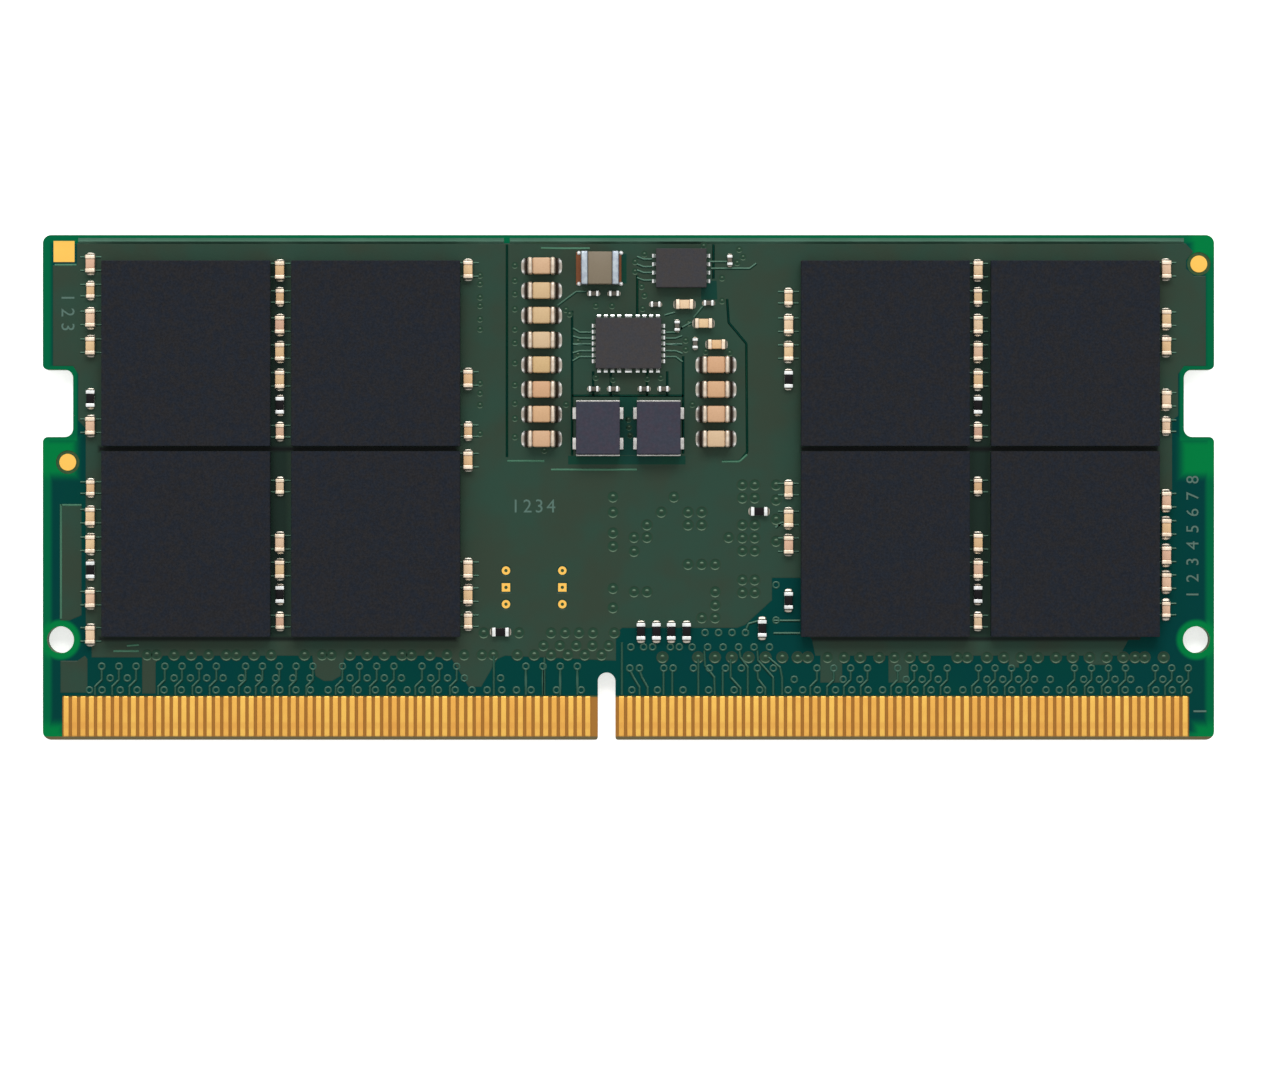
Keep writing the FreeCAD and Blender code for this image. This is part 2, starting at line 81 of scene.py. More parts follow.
# %% Shader sums
class Wire:
    """One output socket of a material's tree, ready to be used in a sum."""

    def __init__(self, tree, socket):
        self.tree = tree
        self.socket = socket

    def node(self, kind, settings, sockets, output=0):
        made = self.tree.nodes.new("ShaderNode" + kind)
        for name, value in settings.items():
            if name == "stops":
                ramp = made.color_ramp.elements
                for element, (at, colour) in zip((ramp[0], ramp[1]), value):
                    element.position = at
                    element.color = colour
                for at, colour in value[2:]:
                    ramp.new(at).color = colour
            else:
                setattr(made, name, value)
        for name, value in sockets.items():
            if isinstance(value, Wire):
                self.tree.links.new(value.socket, made.inputs[name])
            else:
                made.inputs[name].default_value = value
        return Wire(self.tree, made.outputs[output])

    def sum(self, operation, *others):
        values = dict(enumerate((self,) + others))
        return self.node("Math", {"operation": operation}, values)

    def __add__(self, other):
        return self.sum("ADD", other)

    __radd__ = __add__

    def __sub__(self, other):
        return self.sum("SUBTRACT", other)

    def __rsub__(self, other):
        return self.node("Math", {"operation": "SUBTRACT"}, {0: other, 1: self})

    def __mul__(self, other):
        return self.sum("MULTIPLY", other)

    __rmul__ = __mul__

    def __truediv__(self, other):
        return self.sum("DIVIDE", other)

    def __abs__(self):
        return self.sum("ABSOLUTE")

    def least(self, other):
        return self.sum("MINIMUM", other)

    def most(self, other):
        return self.sum("MAXIMUM", other)

    def step(self, low, high):
        """0 below low, 1 above high, and a smooth rise between."""
        limits = {"interpolation_type": "SMOOTHSTEP"}
        return self.node("MapRange", limits, {0: self, 1: low, 2: high, 3: 0.0, 4: 1.0})

    def parts(self):
        split = self.node("SeparateXYZ", {}, {0: self})
        outputs = split.socket.node.outputs
        return [Wire(self.tree, outputs[i]) for i in range(3)]

    def between(self, low, high):
        """This value as the share of the second of two colours."""
        return self.node("Mix", {"data_type": "RGBA"}, {0: self, 6: low, 7: high}, 2)

    def noise(self, size, detail=2.0, roughness=0.5):
        """Cloudy noise with lumps of about this size, from 0 to 1."""
        values = {"Vector": self, "Scale": 1 / size, "Detail": detail, "Roughness": roughness}
        return self.node("TexNoise", {}, values)

    def bump(self, depth, distance):
        """This value as relief: a normal for the shader."""
        return self.node("Bump", {}, {"Height": self, "Strength": depth, "Distance": distance})


print("a socket knows", ", ".join(name for name in vars(Wire) if name[0] != "_"))

# %% [markdown]
# Every finish here is one Principled shader, because the export can bake it. What stays the
# same over the piece is set as a constant when the finish is made, and what changes is put on a
# socket as a sum. The finishes are kept by name, so that a piece can ask for one.

# %% A finish
class Finish:
    """A material with one Principled shader, and the point on the object as `place`."""

    def __init__(self, name, **constants):
        self.material = bpy.data.materials.new(name)
        self.material.use_nodes = True
        tree = self.material.node_tree
        self.shader = tree.nodes["Principled BSDF"]
        for socket, value in constants.items():
            self.shader.inputs[socket.replace("_", " ")].default_value = value
        coordinates = tree.nodes.new("ShaderNodeTexCoord")
        self.place = Wire(tree, coordinates.outputs["Object"])

    def put(self, socket, wire):
        self.place.tree.links.new(wire.socket, self.shader.inputs[socket])

    def attribute(self, name):
        return self.place.node("Attribute", {"attribute_name": name}, {}, 2)


finishes = {}


def add_finishes(made):
    finishes.update(made)
    print("finishes", len(finishes), "with", ", ".join(made))

# %% [markdown]
# The mask is a thin green lacquer. Where copper lies under it, it looks olive; over bare
# laminate with copper planes deeper down it looks dark teal; and where no layer has copper, as
# along the cut edges, round the holes and beside the notches, light comes through and it glows
# bright green. A glassy shader over real layers could give this, but it takes long to render
# and can't be baked. The bright places differ from the rest only by the distance to an edge, so
# that distance is worked out from the point on the object, and the colour follows it.

# %% Finish: bare mask
BARE_MASK = seen(0, 64, 54)
BARE_MASK_BLUE = seen(0, 58, 60)
CLEAR_MASK = seen(0, 122, 62)
EDGE_MASK = seen(0, 100, 62)
HALF_X = board_high.x
HALF_Y = board_high.y
NOTCH_Y = 5.0 * MM
NOTCH_HALF = 2.0 * MM
NOTCH_X = HALF_X - 1.8 * MM
HOLE_X = HALF_X - 1.05 * MM
HOLE_Y = -HALF_Y + 5.95 * MM
HOLE_RADIUS = 0.8 * MM
BELOW_NOTCH = (34.2 * MM, 1.75 * MM), (1.3 * MM, 1.0 * MM)
LOW_CORNER = (34.4 * MM, -14.6 * MM), (0.7 * MM, 0.5 * MM)
FAR_CORNER = (34.2 * MM, 14.4 * MM), (0.7 * MM, 0.7 * MM)
CLEAR_EDGE = 0.32 * MM
FADE = 0.35 * MM


def box_distance(x, y, centre, half):
    """Distance outside a box, and less than zero inside it."""
    return (abs(x - centre[0]) - half[0]).most(abs(y - centre[1]) - half[1])


def clear_share(place):
    """How much of the mask has no copper below, and how much of that lies in a broad patch."""
    x, y, z = place.parts()
    side = abs(x)
    edge = (HALF_X - side).least(HALF_Y - abs(y))
    notch = box_distance(side, y, (HALF_X, NOTCH_Y), (HALF_X - NOTCH_X, NOTCH_HALF))
    across = side - HOLE_X
    along = y - HOLE_Y
    hole = (across * across + along * along).sum("SQRT") - HOLE_RADIUS
    below_notch = box_distance(side, y, *BELOW_NOTCH)
    corner = box_distance(side, y, *LOW_CORNER)
    mark = box_distance(x, y, *FAR_CORNER)
    distance = edge.least(notch * 2.0).least(hole * 1.3)
    patches = below_notch.least(corner).least(mark)
    near = 1 - distance.step(CLEAR_EDGE, CLEAR_EDGE + FADE)
    patch = 1 - patches.step(-0.3 * MM, 0.5 * MM)
    return near.most(patch), patch.most(1 - hole.step(0.2 * MM, 0.7 * MM))


def make_bare_mask():
    finish = Finish("bare_mask", Roughness=0.35, Specular_IOR_Level=0.03)
    share, broad = clear_share(finish.place)
    cloud = finish.place.noise(4 * MM)
    deep = cloud.between(BARE_MASK, BARE_MASK_BLUE)
    clear = broad.between(EDGE_MASK, CLEAR_MASK)
    finish.put("Base Color", share.between(deep, clear))
    finish.put("Normal", finish.place.noise(0.25 * MM).bump(0.15, 0.01 * MM))
    return finish.material


add_finishes({"bare_mask": make_bare_mask()})
print("bare mask: bright within", round((CLEAR_EDGE + FADE) / MM, 2), "mm of an edge")

# %% [markdown]
# The lacquer over copper has the weave of the glass showing through as a very soft mottling. A
# picture of a board could be wrapped on, but it would blur up close. One function makes the
# lacquer colours that sit on copper, so that rims and channels differ in shade and keep one
# surface. The rims are lighter green as a painted highlight, for the light that the lacquer
# catches where it runs over an edge of the copper.

# %% Finishes: mask over copper
def make_copper_mask(name, colour, other, roughness=0.34, shine=0.1):
    finish = Finish(name, Roughness=roughness, Specular_IOR_Level=shine)
    cloud = finish.place.noise(3 * MM, detail=3.0)
    finish.put("Base Color", cloud.step(0.3, 0.7).between(colour, other))
    finish.put("Normal", finish.place.noise(0.2 * MM).bump(0.2, 0.01 * MM))
    return finish.material


add_finishes({
    # The two rim colours are lighter green: a painted highlight of lacquer sloping over a copper
    # edge.
    "rim": make_copper_mask("rim_mask", seen(80, 130, 104), seen(70, 118, 94), 0.3, 0.2),
    "far_rim": make_copper_mask("far_rim_mask", seen(92, 134, 114), seen(82, 124, 104)),
    "channel": make_copper_mask("channel_mask", seen(8, 64, 46), seen(4, 58, 50)),
})

# %% [markdown]
# Hardly any light reaches the board in the narrow gaps between the packages and at the foot of
# their lower sides, so the lacquer is nearly black there. More samples and a nearer lamp could
# bring that out of the render alone, but the wide soft lamp fills those gaps. So the finish is
# darkened there itself, and the gaps are measured from the packages' own boxes.

# %% Finish: mask over the main copper area
POUR_MASK = seen(49, 64, 51)
POUR_MASK_BLUE = seen(42, 70, 57)
FOOT_DEPTH = 0.26 * MM
moulds = [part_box(f"memory_mould_{number}") for number in range(1, 9)]
right = [mould for mould in moulds if mould[0].x > 0]
gap_x = [min(high.x for low, high in right), max(low.x for low, high in right)]
gap_y = [min(high.y for low, high in moulds), max(low.y for low, high in moulds)]
reach_x = [min(low.x for low, high in right), max(high.x for low, high in right)]
reach_y = [min(low.y for low, high in moulds), max(high.y for low, high in moulds)]


def middle_and_half(span):
    return (span[0] + span[1]) / 2, (span[1] - span[0]) / 2


def box_share(x, y, span_x, span_y, soft):
    """1 well inside a box, 0 well outside it."""
    (mid_x, half_x), (mid_y, half_y) = middle_and_half(span_x), middle_and_half(span_y)
    return 1 - box_distance(x, y, (mid_x, mid_y), (half_x, half_y)).step(-soft, soft)


def make_pour():
    finish = Finish("pour_mask", Roughness=0.34, Specular_IOR_Level=0.1)
    x, y, z = finish.place.parts()
    cloud = finish.place.noise(3 * MM, detail=3.0)
    lit = cloud.step(0.3, 0.7).between(POUR_MASK, POUR_MASK_BLUE)
    upright = box_share(abs(x), y, gap_x, reach_y, 0.25 * MM)
    level = box_share(abs(x), y, reach_x, gap_y, 0.15 * MM)
    foot_y = (reach_y[0] - FOOT_DEPTH, reach_y[0])
    foot = box_share(abs(x), y, reach_x, foot_y, 0.12 * MM)
    dark = level.most(foot * 0.85)
    dim = upright.between(lit, seen(24, 44, 36))
    finish.put("Base Color", dark.between(dim, seen(3, 8, 8)))
    finish.put("Normal", finish.place.noise(0.2 * MM).bump(0.2, 0.01 * MM))
    return finish.material


add_finishes({"pour": make_pour()})
print("gaps between packages", [round((b - a) / MM, 2) for a, b in (gap_x, gap_y)], "mm")

# %% [markdown]
# The underside has no parts and one wide copper area, with a strip of bare laminate above the
# contacts and the same bright edges as the front. The area could be a plate as on the front.
# Nobody sees its edge from below, so a colour within a box is enough.

# %% Finish: mask of the underside
BACK_AREA_X = (-33.1 * MM, 33.1 * MM)
BACK_AREA_Y = (-9.9 * MM, 14.5 * MM)


def make_back_mask():
    finish = Finish("back_mask", Roughness=0.35, Specular_IOR_Level=0.08)
    x, y, z = finish.place.parts()
    share, broad = clear_share(finish.place)
    cloud = finish.place.noise(3 * MM, detail=3.0)
    pour = cloud.step(0.3, 0.7).between(POUR_MASK, POUR_MASK_BLUE)
    area = box_share(abs(x), y, BACK_AREA_X, BACK_AREA_Y, 0.03 * MM)
    clear = broad.between(EDGE_MASK, CLEAR_MASK)
    finish.put("Base Color", share.between(area.between(BARE_MASK, pour), clear))
    finish.put("Normal", finish.place.noise(0.2 * MM).bump(0.2, 0.01 * MM))
    return finish.material


add_finishes({"back_mask": make_back_mask()})

# %% [markdown]
# A plated hole in the copper area is a dimple with a small bump in it. From above the bump is
# light on the side of the lamp and the dimple is light on the opposite side. A deep mesh could
# show that under the lamp, but the real dimple is hardly deeper than the lacquer is thick. So
# the mesh of the dimple carries its lean and its depth as two attributes, and the colour
# follows them.

# %% Finish: dimples
def make_dimple():
    finish = Finish("dimple_mask", Roughness=0.34, Specular_IOR_Level=0.1)
    lean = finish.attribute("lean")
    deep = finish.attribute("deep")
    ground = deep.between(POUR_MASK, seen(34, 66, 49))
    lit = (lean.step(0.3, 1.0) * 0.9).between(ground, seen(122, 148, 124))
    shade = (lean * -1.0).step(0.2, 1.0) * 0.8
    finish.put("Base Color", shade.between(lit, seen(20, 50, 36)))
    return finish.material


add_finishes({"dimple": make_dimple()})

# %% [markdown]
# Tracks and the rings of plated holes are narrow humps under the lacquer. The lamp stands
# beyond the far edge, so what leans that way is light and what leans back is dark. The render
# does this too, but faintly on humps so low, so a little of it is put into the colour as well,
# from the direction of the surface.

# %% Finish: tracks
def make_track():
    finish = Finish("track_mask", Roughness=0.3, Specular_IOR_Level=0.3)
    normal = finish.place.node("NewGeometry", {}, {}, 1)
    x, leaning, z = normal.parts()
    lit = leaning.step(0.12, 0.6)
    dark = (leaning * -1.0).step(0.12, 0.6)
    flat = lit.between(seen(40, 84, 68), seen(94, 132, 112))
    finish.put("Base Color", dark.between(flat, seen(18, 62, 48)))
    return finish.material


add_finishes({"track": make_track()})

# %% [markdown]
# Moulding compound is a black resin full of fine glass beads. Up close it is not black: it is a
# blue grey with a sparkle of lighter and darker grains. One dark colour would look like plastic
# film, so two noises give the grains their colour, and the finer one also gives the surface its
# tooth.

# %% Finishes: moulded packages
def make_mould(name, cool, warm, grain, contrast):
    finish = Finish(name, Roughness=0.62, Specular_IOR_Level=0.08)
    fine = finish.place.noise(grain, detail=4.0, roughness=0.7)
    patches = finish.place.noise(3.2 * grain, detail=3.0, roughness=0.65)
    broad = finish.place.noise(1.6 * MM, detail=2.0)
    hue = (patches * 0.7 + broad * 0.3).step(0.38, 0.62).between(cool, warm)
    light = 1 - contrast + 2 * contrast * fine.step(0.3, 0.7)
    grey = light.node("CombineXYZ", {}, {0: light, 1: light, 2: light})
    finish.put("Base Color", grey.node("VectorMath", {"operation": "MULTIPLY"},
                                       {0: grey, 1: hue}))
    finish.put("Normal", fine.bump(0.35, 0.02 * MM))
    finish.put("Roughness", 0.55 + 0.2 * broad)
    return finish.material


add_finishes({
    "memory_mould": make_mould("memory_compound", seen(30, 35, 44), seen(37, 37, 40),
                               0.12 * MM, 0.25),
    "chip_mould": make_mould("chip_compound", seen(62, 62, 66), seen(66, 63, 63),
                             0.1 * MM, 0.1),
    "inductor": make_mould("iron_compound", seen(60, 63, 75), seen(66, 62, 74),
                           0.16 * MM, 0.1),
})

# %% [markdown]
# The contacts are gold over nickel. Each has its own depth of colour, is darker along its
# sides, which is painted shade for the edges that lean away from the lamp, and has a darker line
# across it near its foot. That could be painted on a picture, but one finish can serve all the
# contacts: the tone and the distance across come from attributes of the mesh, and the line from
# the point on the object.

# %% Finishes: gold
GOLD_DARK = seen(204, 134, 62)
CROSS_LINE_Y = -14.15 * MM


def make_gold(name, light, dark):
    finish = Finish(name, Metallic=0.75, Roughness=0.3)
    tone = finish.attribute("tone")
    across = finish.attribute("across")
    x, y, z = finish.place.parts()
    cloud = finish.place.noise(1.2 * MM, detail=3.0)
    share = (tone * 0.5 + cloud * 0.6).step(0.1, 0.95)
    bright = share.between(dark, light)
    line_share = 1 - abs(y - CROSS_LINE_Y).step(0.1 * MM, 0.3 * MM)
    # Painted shade along the sides, where the strip leans away from the lamp, and the darker line
    # across.
    shade = (across.step(0.65, 1.0) * 0.7).most(line_share * 0.3)
    finish.put("Base Color", shade.between(bright, GOLD_DARK))
    finish.put("Roughness", 0.24 + 0.16 * cloud)
    finish.put("Normal", finish.place.noise(0.1 * MM).bump(0.08, 0.005 * MM))
    return finish.material


add_finishes({
    "gold": make_gold("contact_gold", seen(232, 184, 86), seen(220, 158, 70)),
    "mark_gold": make_gold("mark_gold", seen(244, 196, 92), seen(240, 186, 84)),
})

# %% [markdown]
# The other metals are solder that has run and set, and the tin on the leads and on the ends of
# the chip parts. Metal takes its colour from what it mirrors, so its base colour is only a
# tint, and the roughness decides whether it shines or glows. One function with a soft cloud in
# both makes them all, since they differ only in these.

# %% Finishes: tin and solder
def make_tin(name, colour, other, roughness):
    finish = Finish(name, Metallic=0.85, Roughness=roughness)
    cloud = finish.place.noise(0.3 * MM, detail=3.0)
    finish.put("Base Color", cloud.step(0.3, 0.7).between(colour, other))
    finish.put("Roughness", roughness - 0.08 + 0.16 * cloud)
    finish.put("Normal", finish.place.noise(0.12 * MM).bump(0.15, 0.01 * MM))
    return finish.material


add_finishes({
    "solder": make_tin("solder_metal", seen(236, 238, 236), seen(206, 210, 208), 0.22),
    "chip_solder": make_tin("chip_solder", seen(206, 198, 184), seen(178, 170, 156), 0.35),
    "tin": make_tin("tin_ends", seen(238, 220, 198), seen(216, 196, 172), 0.42),
    "grey_tin": make_tin("grey_tin", seen(232, 234, 232), seen(208, 210, 208), 0.4),
    "worn_tin": make_tin("worn_tin", seen(220, 206, 188), seen(196, 178, 158), 0.42),
    "silver": make_tin("silver_ends", seen(178, 188, 194), seen(150, 158, 170), 0.35),
    "lead": make_tin("tinned_leads", seen(206, 204, 200), seen(176, 174, 170), 0.4),
})

# %% [markdown]
# Round the largest capacitors the solder is hollow: next to the metal end it mirrors the dark
# side of the part, and only its outer rim is bright. True mirroring of so small a hollow is
# noisy, so the fillet's mesh says with two attributes how far out and how far aside a point
# lies, and the colour follows them.

# %% Finish: hollow solder
def make_hollow_solder():
    finish = Finish("hollow_solder", Metallic=0.7, Roughness=0.25)
    rim = finish.attribute("reach").step(0.3, 0.6)
    corner = finish.attribute("aside").step(0.25, 0.85)
    bright = corner.between(seen(172, 164, 152), seen(246, 246, 242))
    finish.put("Base Color", rim.between(seen(86, 66, 54), bright))
    return finish.material


add_finishes({"hollow_solder": make_hollow_solder()})

# %% [markdown]
# Ceramic bodies come in batches, and no two batches are quite the same tan. A material for each
# batch would do, but each stamped part carries a random number called tone, so one finish can
# pick its shade by it from a ramp.

# %% Finishes: ceramics
def make_ceramic(name, shades, roughness=0.45):
    finish = Finish(name, Roughness=roughness, Specular_IOR_Level=0.4)
    count = len(shades) - 1
    stops = [(i / count, shade) for i, shade in enumerate(shades)]
    tone = finish.attribute("tone")
    picked = tone.node("ValToRGB", {"stops": [stops[0], stops[-1]] + stops[1:-1]}, {0: tone})
    speck = finish.place.noise(0.06 * MM, detail=3.0).step(0.35, 0.7) * 0.25
    dusted = speck.node("Mix", {"data_type": "RGBA", "blend_type": "MULTIPLY"},
                        {0: speck, 6: picked, 7: (0.72, 0.66, 0.6, 1.0)}, 2)
    finish.put("Base Color", dusted)
    finish.put("Normal", finish.place.noise(0.05 * MM).bump(0.1, 0.005 * MM))
    return finish.material


add_finishes({
    "tan": make_ceramic("tan_ceramic", [seen(224, 182, 134), seen(228, 194, 146),
                                        seen(236, 206, 170), seen(218, 174, 146)]),
    "cream": make_ceramic("cream_ceramic", [seen(212, 176, 130), seen(210, 162, 124),
                                            seen(214, 186, 150), seen(208, 174, 120)]),
    "olive_ceramic": make_ceramic("olive_ceramic", [seen(84, 80, 72), seen(104, 98, 86)]),
    "brown_ceramic": make_ceramic("brown_ceramic", [seen(128, 116, 96), seen(122, 110, 92)]),
    "white_ceramic": make_ceramic("alumina", [seen(226, 224, 216), seen(214, 212, 204)]),
})

# %% [markdown]
# What is small or hidden needs no pattern of its own: the glaze of the resistors, tarnished
# lands, white solder, and the copper, silicon and substrates inside. The white solder is pale tin
# made near white and mostly matt, so the bright reflection of its shine is painted into its
# colour. A flat colour looks like paint, so they share one function with a soft cloud and a little
# relief.

# %% Finishes: plain pieces
def make_plain(name, colour, roughness, grain, **constants):
    finish = Finish(name, Roughness=roughness, **constants)
    cloud = finish.place.noise(grain, detail=3.0)
    darker = tuple(c * 0.85 for c in colour[:3]) + (1.0,)
    finish.put("Base Color", cloud.between(darker, colour))
    finish.put("Normal", cloud.bump(0.1, 0.01 * MM))
    return finish.material


add_finishes({
    "glaze": make_plain("resistor_glaze", seen(20, 17, 20), 0.4, 0.2 * MM,
                        Specular_IOR_Level=0.1),
    # Near white and mostly matt: the solder's pale tin with its bright reflection painted in.
    "bright_solder": make_plain("bright_solder", seen(250, 250, 248), 0.3, 0.2 * MM,
                                Metallic=0.3),
    "bare_land": make_plain("bare_land", seen(122, 66, 26), 0.35, 0.2 * MM, Metallic=0.4),
    "copper": make_plain("bare_copper", seen(196, 120, 80), 0.35, 0.4 * MM, Metallic=1.0),
    "silicon": make_plain("ground_silicon", seen(110, 112, 118), 0.3, 0.3 * MM),
    "substrate": make_plain("substrate_edge", seen(30, 66, 50), 0.5, 0.2 * MM),
    "digit": make_plain("marking_ink", seen(74, 108, 96), 0.5, 0.2 * MM),
})

# %% [markdown]
# The cut side of a board shows its layers: pale glass cloth in resin, stacked in thin sheets.
# Thin slabs could be stacked for them, but stripes cost nothing: the height of the point,
# divided into sheets, goes through a sine. The same laminate shows between the contacts, where
# it is brown, and on the bevel below them.

# %% Finish: laminate
CONTACT_GAP = seen(164, 112, 46)
CONTACT_ROW_TOP = -12.5 * MM
CONTACT_ROW_END = 34.0 * MM
BEVEL_TOP = -14.8 * MM
SHEET = 0.1 * MM


def make_laminate():
    finish = Finish("laminate_cut", Roughness=0.6, Specular_IOR_Level=0.15)
    x, y, z = finish.place.parts()
    layers = (z * (2 * math.pi / SHEET)).sum("SINE") * 0.5 + 0.5
    fibre = finish.place.noise(0.15 * MM, detail=3.0)
    share = (layers * 0.6 + fibre * 0.4).step(0.2, 0.8)
    side = share.between(seen(44, 78, 48), seen(96, 112, 66))
    along = 1 - (y - CONTACT_ROW_TOP).step(0.0, 0.1 * MM)
    between_contacts = along * (1 - (abs(x) - CONTACT_ROW_END).step(0.0, 0.1 * MM))
    bevel = 1 - (y - BEVEL_TOP).step(-0.02 * MM, 0.02 * MM)
    gaps = between_contacts.between(side, CONTACT_GAP)
    finish.put("Base Color", bevel.between(gaps, seen(112, 102, 70)))
    finish.put("Normal", fibre.bump(0.3, 0.01 * MM))
    return finish.material


add_finishes({"laminate": make_laminate()})

# %% [markdown]
# Most solids already have the right shape and only need their finish. They could be copied and
# dressed, but a solid that keeps its own mesh can't drift from it, so it just gets a material
# in its slot.

# %% Finishes for the solids that stay
def paint(node, finish):
    mesh = nodes[node].data
    mesh.materials.clear()
    mesh.materials.append(finishes[finish])


for node in nodes:
    if node.startswith("laminate"):
        paint(node, "laminate")
    elif node == "solder_mask_front":
        paint(node, "bare_mask")
    elif node == "solder_mask_back":
        paint(node, "back_mask")
    elif node in ("ground_plane", "power_plane", "power_inductor_coils"):
        paint(node, "copper")
    elif node.endswith("die") or node.endswith("dies"):
        paint(node, "silicon")
    elif node.startswith("memory_substrate"):
        paint(node, "substrate")
    elif node.startswith("memory_balls") or node.endswith("solder"):
        paint(node, "solder")
    elif node.endswith("lead_frame") or node.endswith("terminals"):
        paint(node, "lead")
    elif node in ("placement_marks", "test_pads"):
        paint(node, "mark_gold")
    elif node.startswith("contacts"):
        paint(node, "gold")
print("painted", len([node for node in nodes if nodes[node].data.materials]))

# %% [markdown]
# A new piece is an object in the scene that carries its material, rides on the module's one body
# and hides the solids it stands for. Writing that out for each piece would hide what is special in
# it, so two helpers do it.

# %% Put a piece in the scene
def link(name, mesh, material=None):
    thing = bpy.data.objects.new(name, mesh)
    bpy.context.scene.collection.objects.link(thing)
    if material:
        mesh.materials.clear()
        mesh.materials.append(material)
    return thing


def keep(thing, slot, *replaced):
    """A finished piece: it rides on the one body, and the solids it replaces are hidden. The slot
    is not used.
    """
    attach(thing, "root")
    if replaced:
        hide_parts(*replaced)
    print("piece", thing.name, len(thing.data.polygons), "faces")
    return thing

# %% [markdown]
# Solder and bent sheet have no sharp edges. The sheet could be modelled again as a bent strip,
# but its solid already has the right bends. So this function takes a node's own solids, merges
# their loose triangles, and rounds every sharp edge a little.

# %% Softened terminal sheets
def softened(name, node, radius, material, slot):
    work = bmesh.new()
    work.from_mesh(nodes[node].data)
    bmesh.ops.remove_doubles(work, verts=work.verts, dist=1e-6)
    bmesh.ops.dissolve_limit(work, angle_limit=math.radians(3), verts=work.verts,
                             edges=work.edges)
    sharp = [edge for edge in work.edges if edge.calc_face_angle(0.0) > math.radians(40)]
    bmesh.ops.bevel(work, geom=sharp, offset=radius, segments=2, profile=0.6,
                    affect="EDGES", clamp_overlap=True)
    mesh = bpy.data.meshes.new(name)
    work.to_mesh(mesh)
    work.free()
    for polygon in mesh.polygons:
        polygon.use_smooth = True
    return keep(link(name, mesh, material), slot, node)


softened("inductor_terminal_sheets", "power_inductor_terminals", 0.03 * MM, finishes["lead"],
         "tinned_copper")

# %% [markdown]
# Every solid of a grouped node is found again by walking from face to face over shared corners.
# The places could be typed in as a list, but they are in the solids already: the box of each
# gives its centre and its size, so a change of the layout needs no change here.

# %% Measure the solids of a node
class Solid:
    """One solid of a node: the box round it."""

    def __init__(self, low, high):
        self.low = low
        self.high = high
        self.centre = (low + high) / 2
        self.size = high - low


def solids_of(node):
    mesh = bmesh.new()
    mesh.from_mesh(nodes[node].data)
    bmesh.ops.remove_doubles(mesh, verts=mesh.verts, dist=1e-6)
    found = []
    seen_corners = set()
    for start in mesh.verts:
        if start in seen_corners:
            continue
        seen_corners.add(start)
        waiting = [start]
        corners = []
        while waiting:
            corner = waiting.pop()
            corners.append(corner.co.copy())
            for edge in corner.link_edges:
                other = edge.other_vert(corner)
                if other not in seen_corners:
                    seen_corners.add(other)
                    waiting.append(other)
        low = Vector([min(c[i] for c in corners) for i in range(3)])
        high = Vector([max(c[i] for c in corners) for i in range(3)])
        found.append(Solid(low, high))
    mesh.free()
    return found


def box_of(node):
    low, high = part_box(node)
    return Solid(low, high)


print("contacts on the front", len(solids_of("contacts_front")))

# %% [markdown]
# Eight memory packages. A real one is cut from a moulded strip, so its sides are straight and
# its edges only just broken. A cube with a bevel modifier would look the same, but the bevel
# operator of bmesh leaves a plain mesh at once. Each cover is a block with a fine round along
# its edges, and so are the covers of the two chips and the two inductors.

# %% Memory covers
def rounded_block(name, low, high, radius, segments=3):
    """A box between two corners with all its edges rounded."""
    work = bmesh.new()
    bmesh.ops.create_cube(work, size=1.0)
    size = high - low
    for corner in work.verts:
        corner.co = Vector([low[i] + (corner.co[i] + 0.5) * size[i] for i in range(3)])
    bmesh.ops.bevel(work, geom=list(work.edges), offset=radius, segments=segments,
                    profile=0.5, affect="EDGES", clamp_overlap=True)
    mesh = bpy.data.meshes.new(name)
    work.to_mesh(mesh)
    work.free()
    return mesh


PACKAGE_EDGE = 0.04 * MM
for number in range(1, 9):
    node = f"memory_mould_{number}"
    cover = box_of(node)
    mesh = rounded_block(f"memory_cover_{number}", cover.low, cover.high, PACKAGE_EDGE, 2)
    keep(link(mesh.name, mesh, finishes["memory_mould"]), "memory_mould", node)
for name in ("power_chip", "sensor_hub"):
    cover = box_of(f"{name}_mould")
    mesh = rounded_block(f"{name}_cover", cover.low, cover.high, PACKAGE_EDGE, 2)
    keep(link(mesh.name, mesh, finishes["chip_mould"]), "chip_mould", f"{name}_mould")
for side in ("left", "right"):
    node = f"power_inductor_{side}"
    cover = box_of(node)
    mesh = rounded_block(f"inductor_block_{side}", cover.low, cover.high, 0.08 * MM, 3)
    keep(link(mesh.name, mesh, finishes["inductor"]), "inductor_mould", node)

# %% [markdown]
# What repeats is stamped by Geometry Nodes. A tree can be drawn in the node editor; written as
# a script it is the same each time. These three helpers add an input of the tree, a node with
# its settings and links, and a node that reads an attribute.

# %% Geometry Nodes: helpers
def tree_socket(tree, name, kind, value=None, output=False):
    in_out = "OUTPUT" if output else "INPUT"
    socket = tree.interface.new_socket(name, in_out=in_out, socket_type="NodeSocket" + kind)
    if value is not None:
        socket.default_value = value
    return socket.identifier


def add_node(tree, kind, settings=None, links=None):
    made = tree.nodes.new(kind)
    for name, value in (settings or {}).items():
        setattr(made, name, value)
    for name, value in (links or {}).items():
        if isinstance(value, bpy.types.NodeSocket):
            tree.links.new(value, made.inputs[name])
        else:
            made.inputs[name].default_value = value
    return made


def attribute_node(tree, name, kind):
    return add_node(tree, "GeometryNodeInputNamedAttribute", {"data_type": kind},
                    {"Name": name}).outputs[0]

# %% [markdown]
# The tree below takes points that carry three attributes, a turn, a scale and a tone, and puts
# a copy of a template on each. A loop could copy the objects as well, but it would leave
# hundreds of them. The copies are made real at the end, because instances are lost when the
# model is exported.

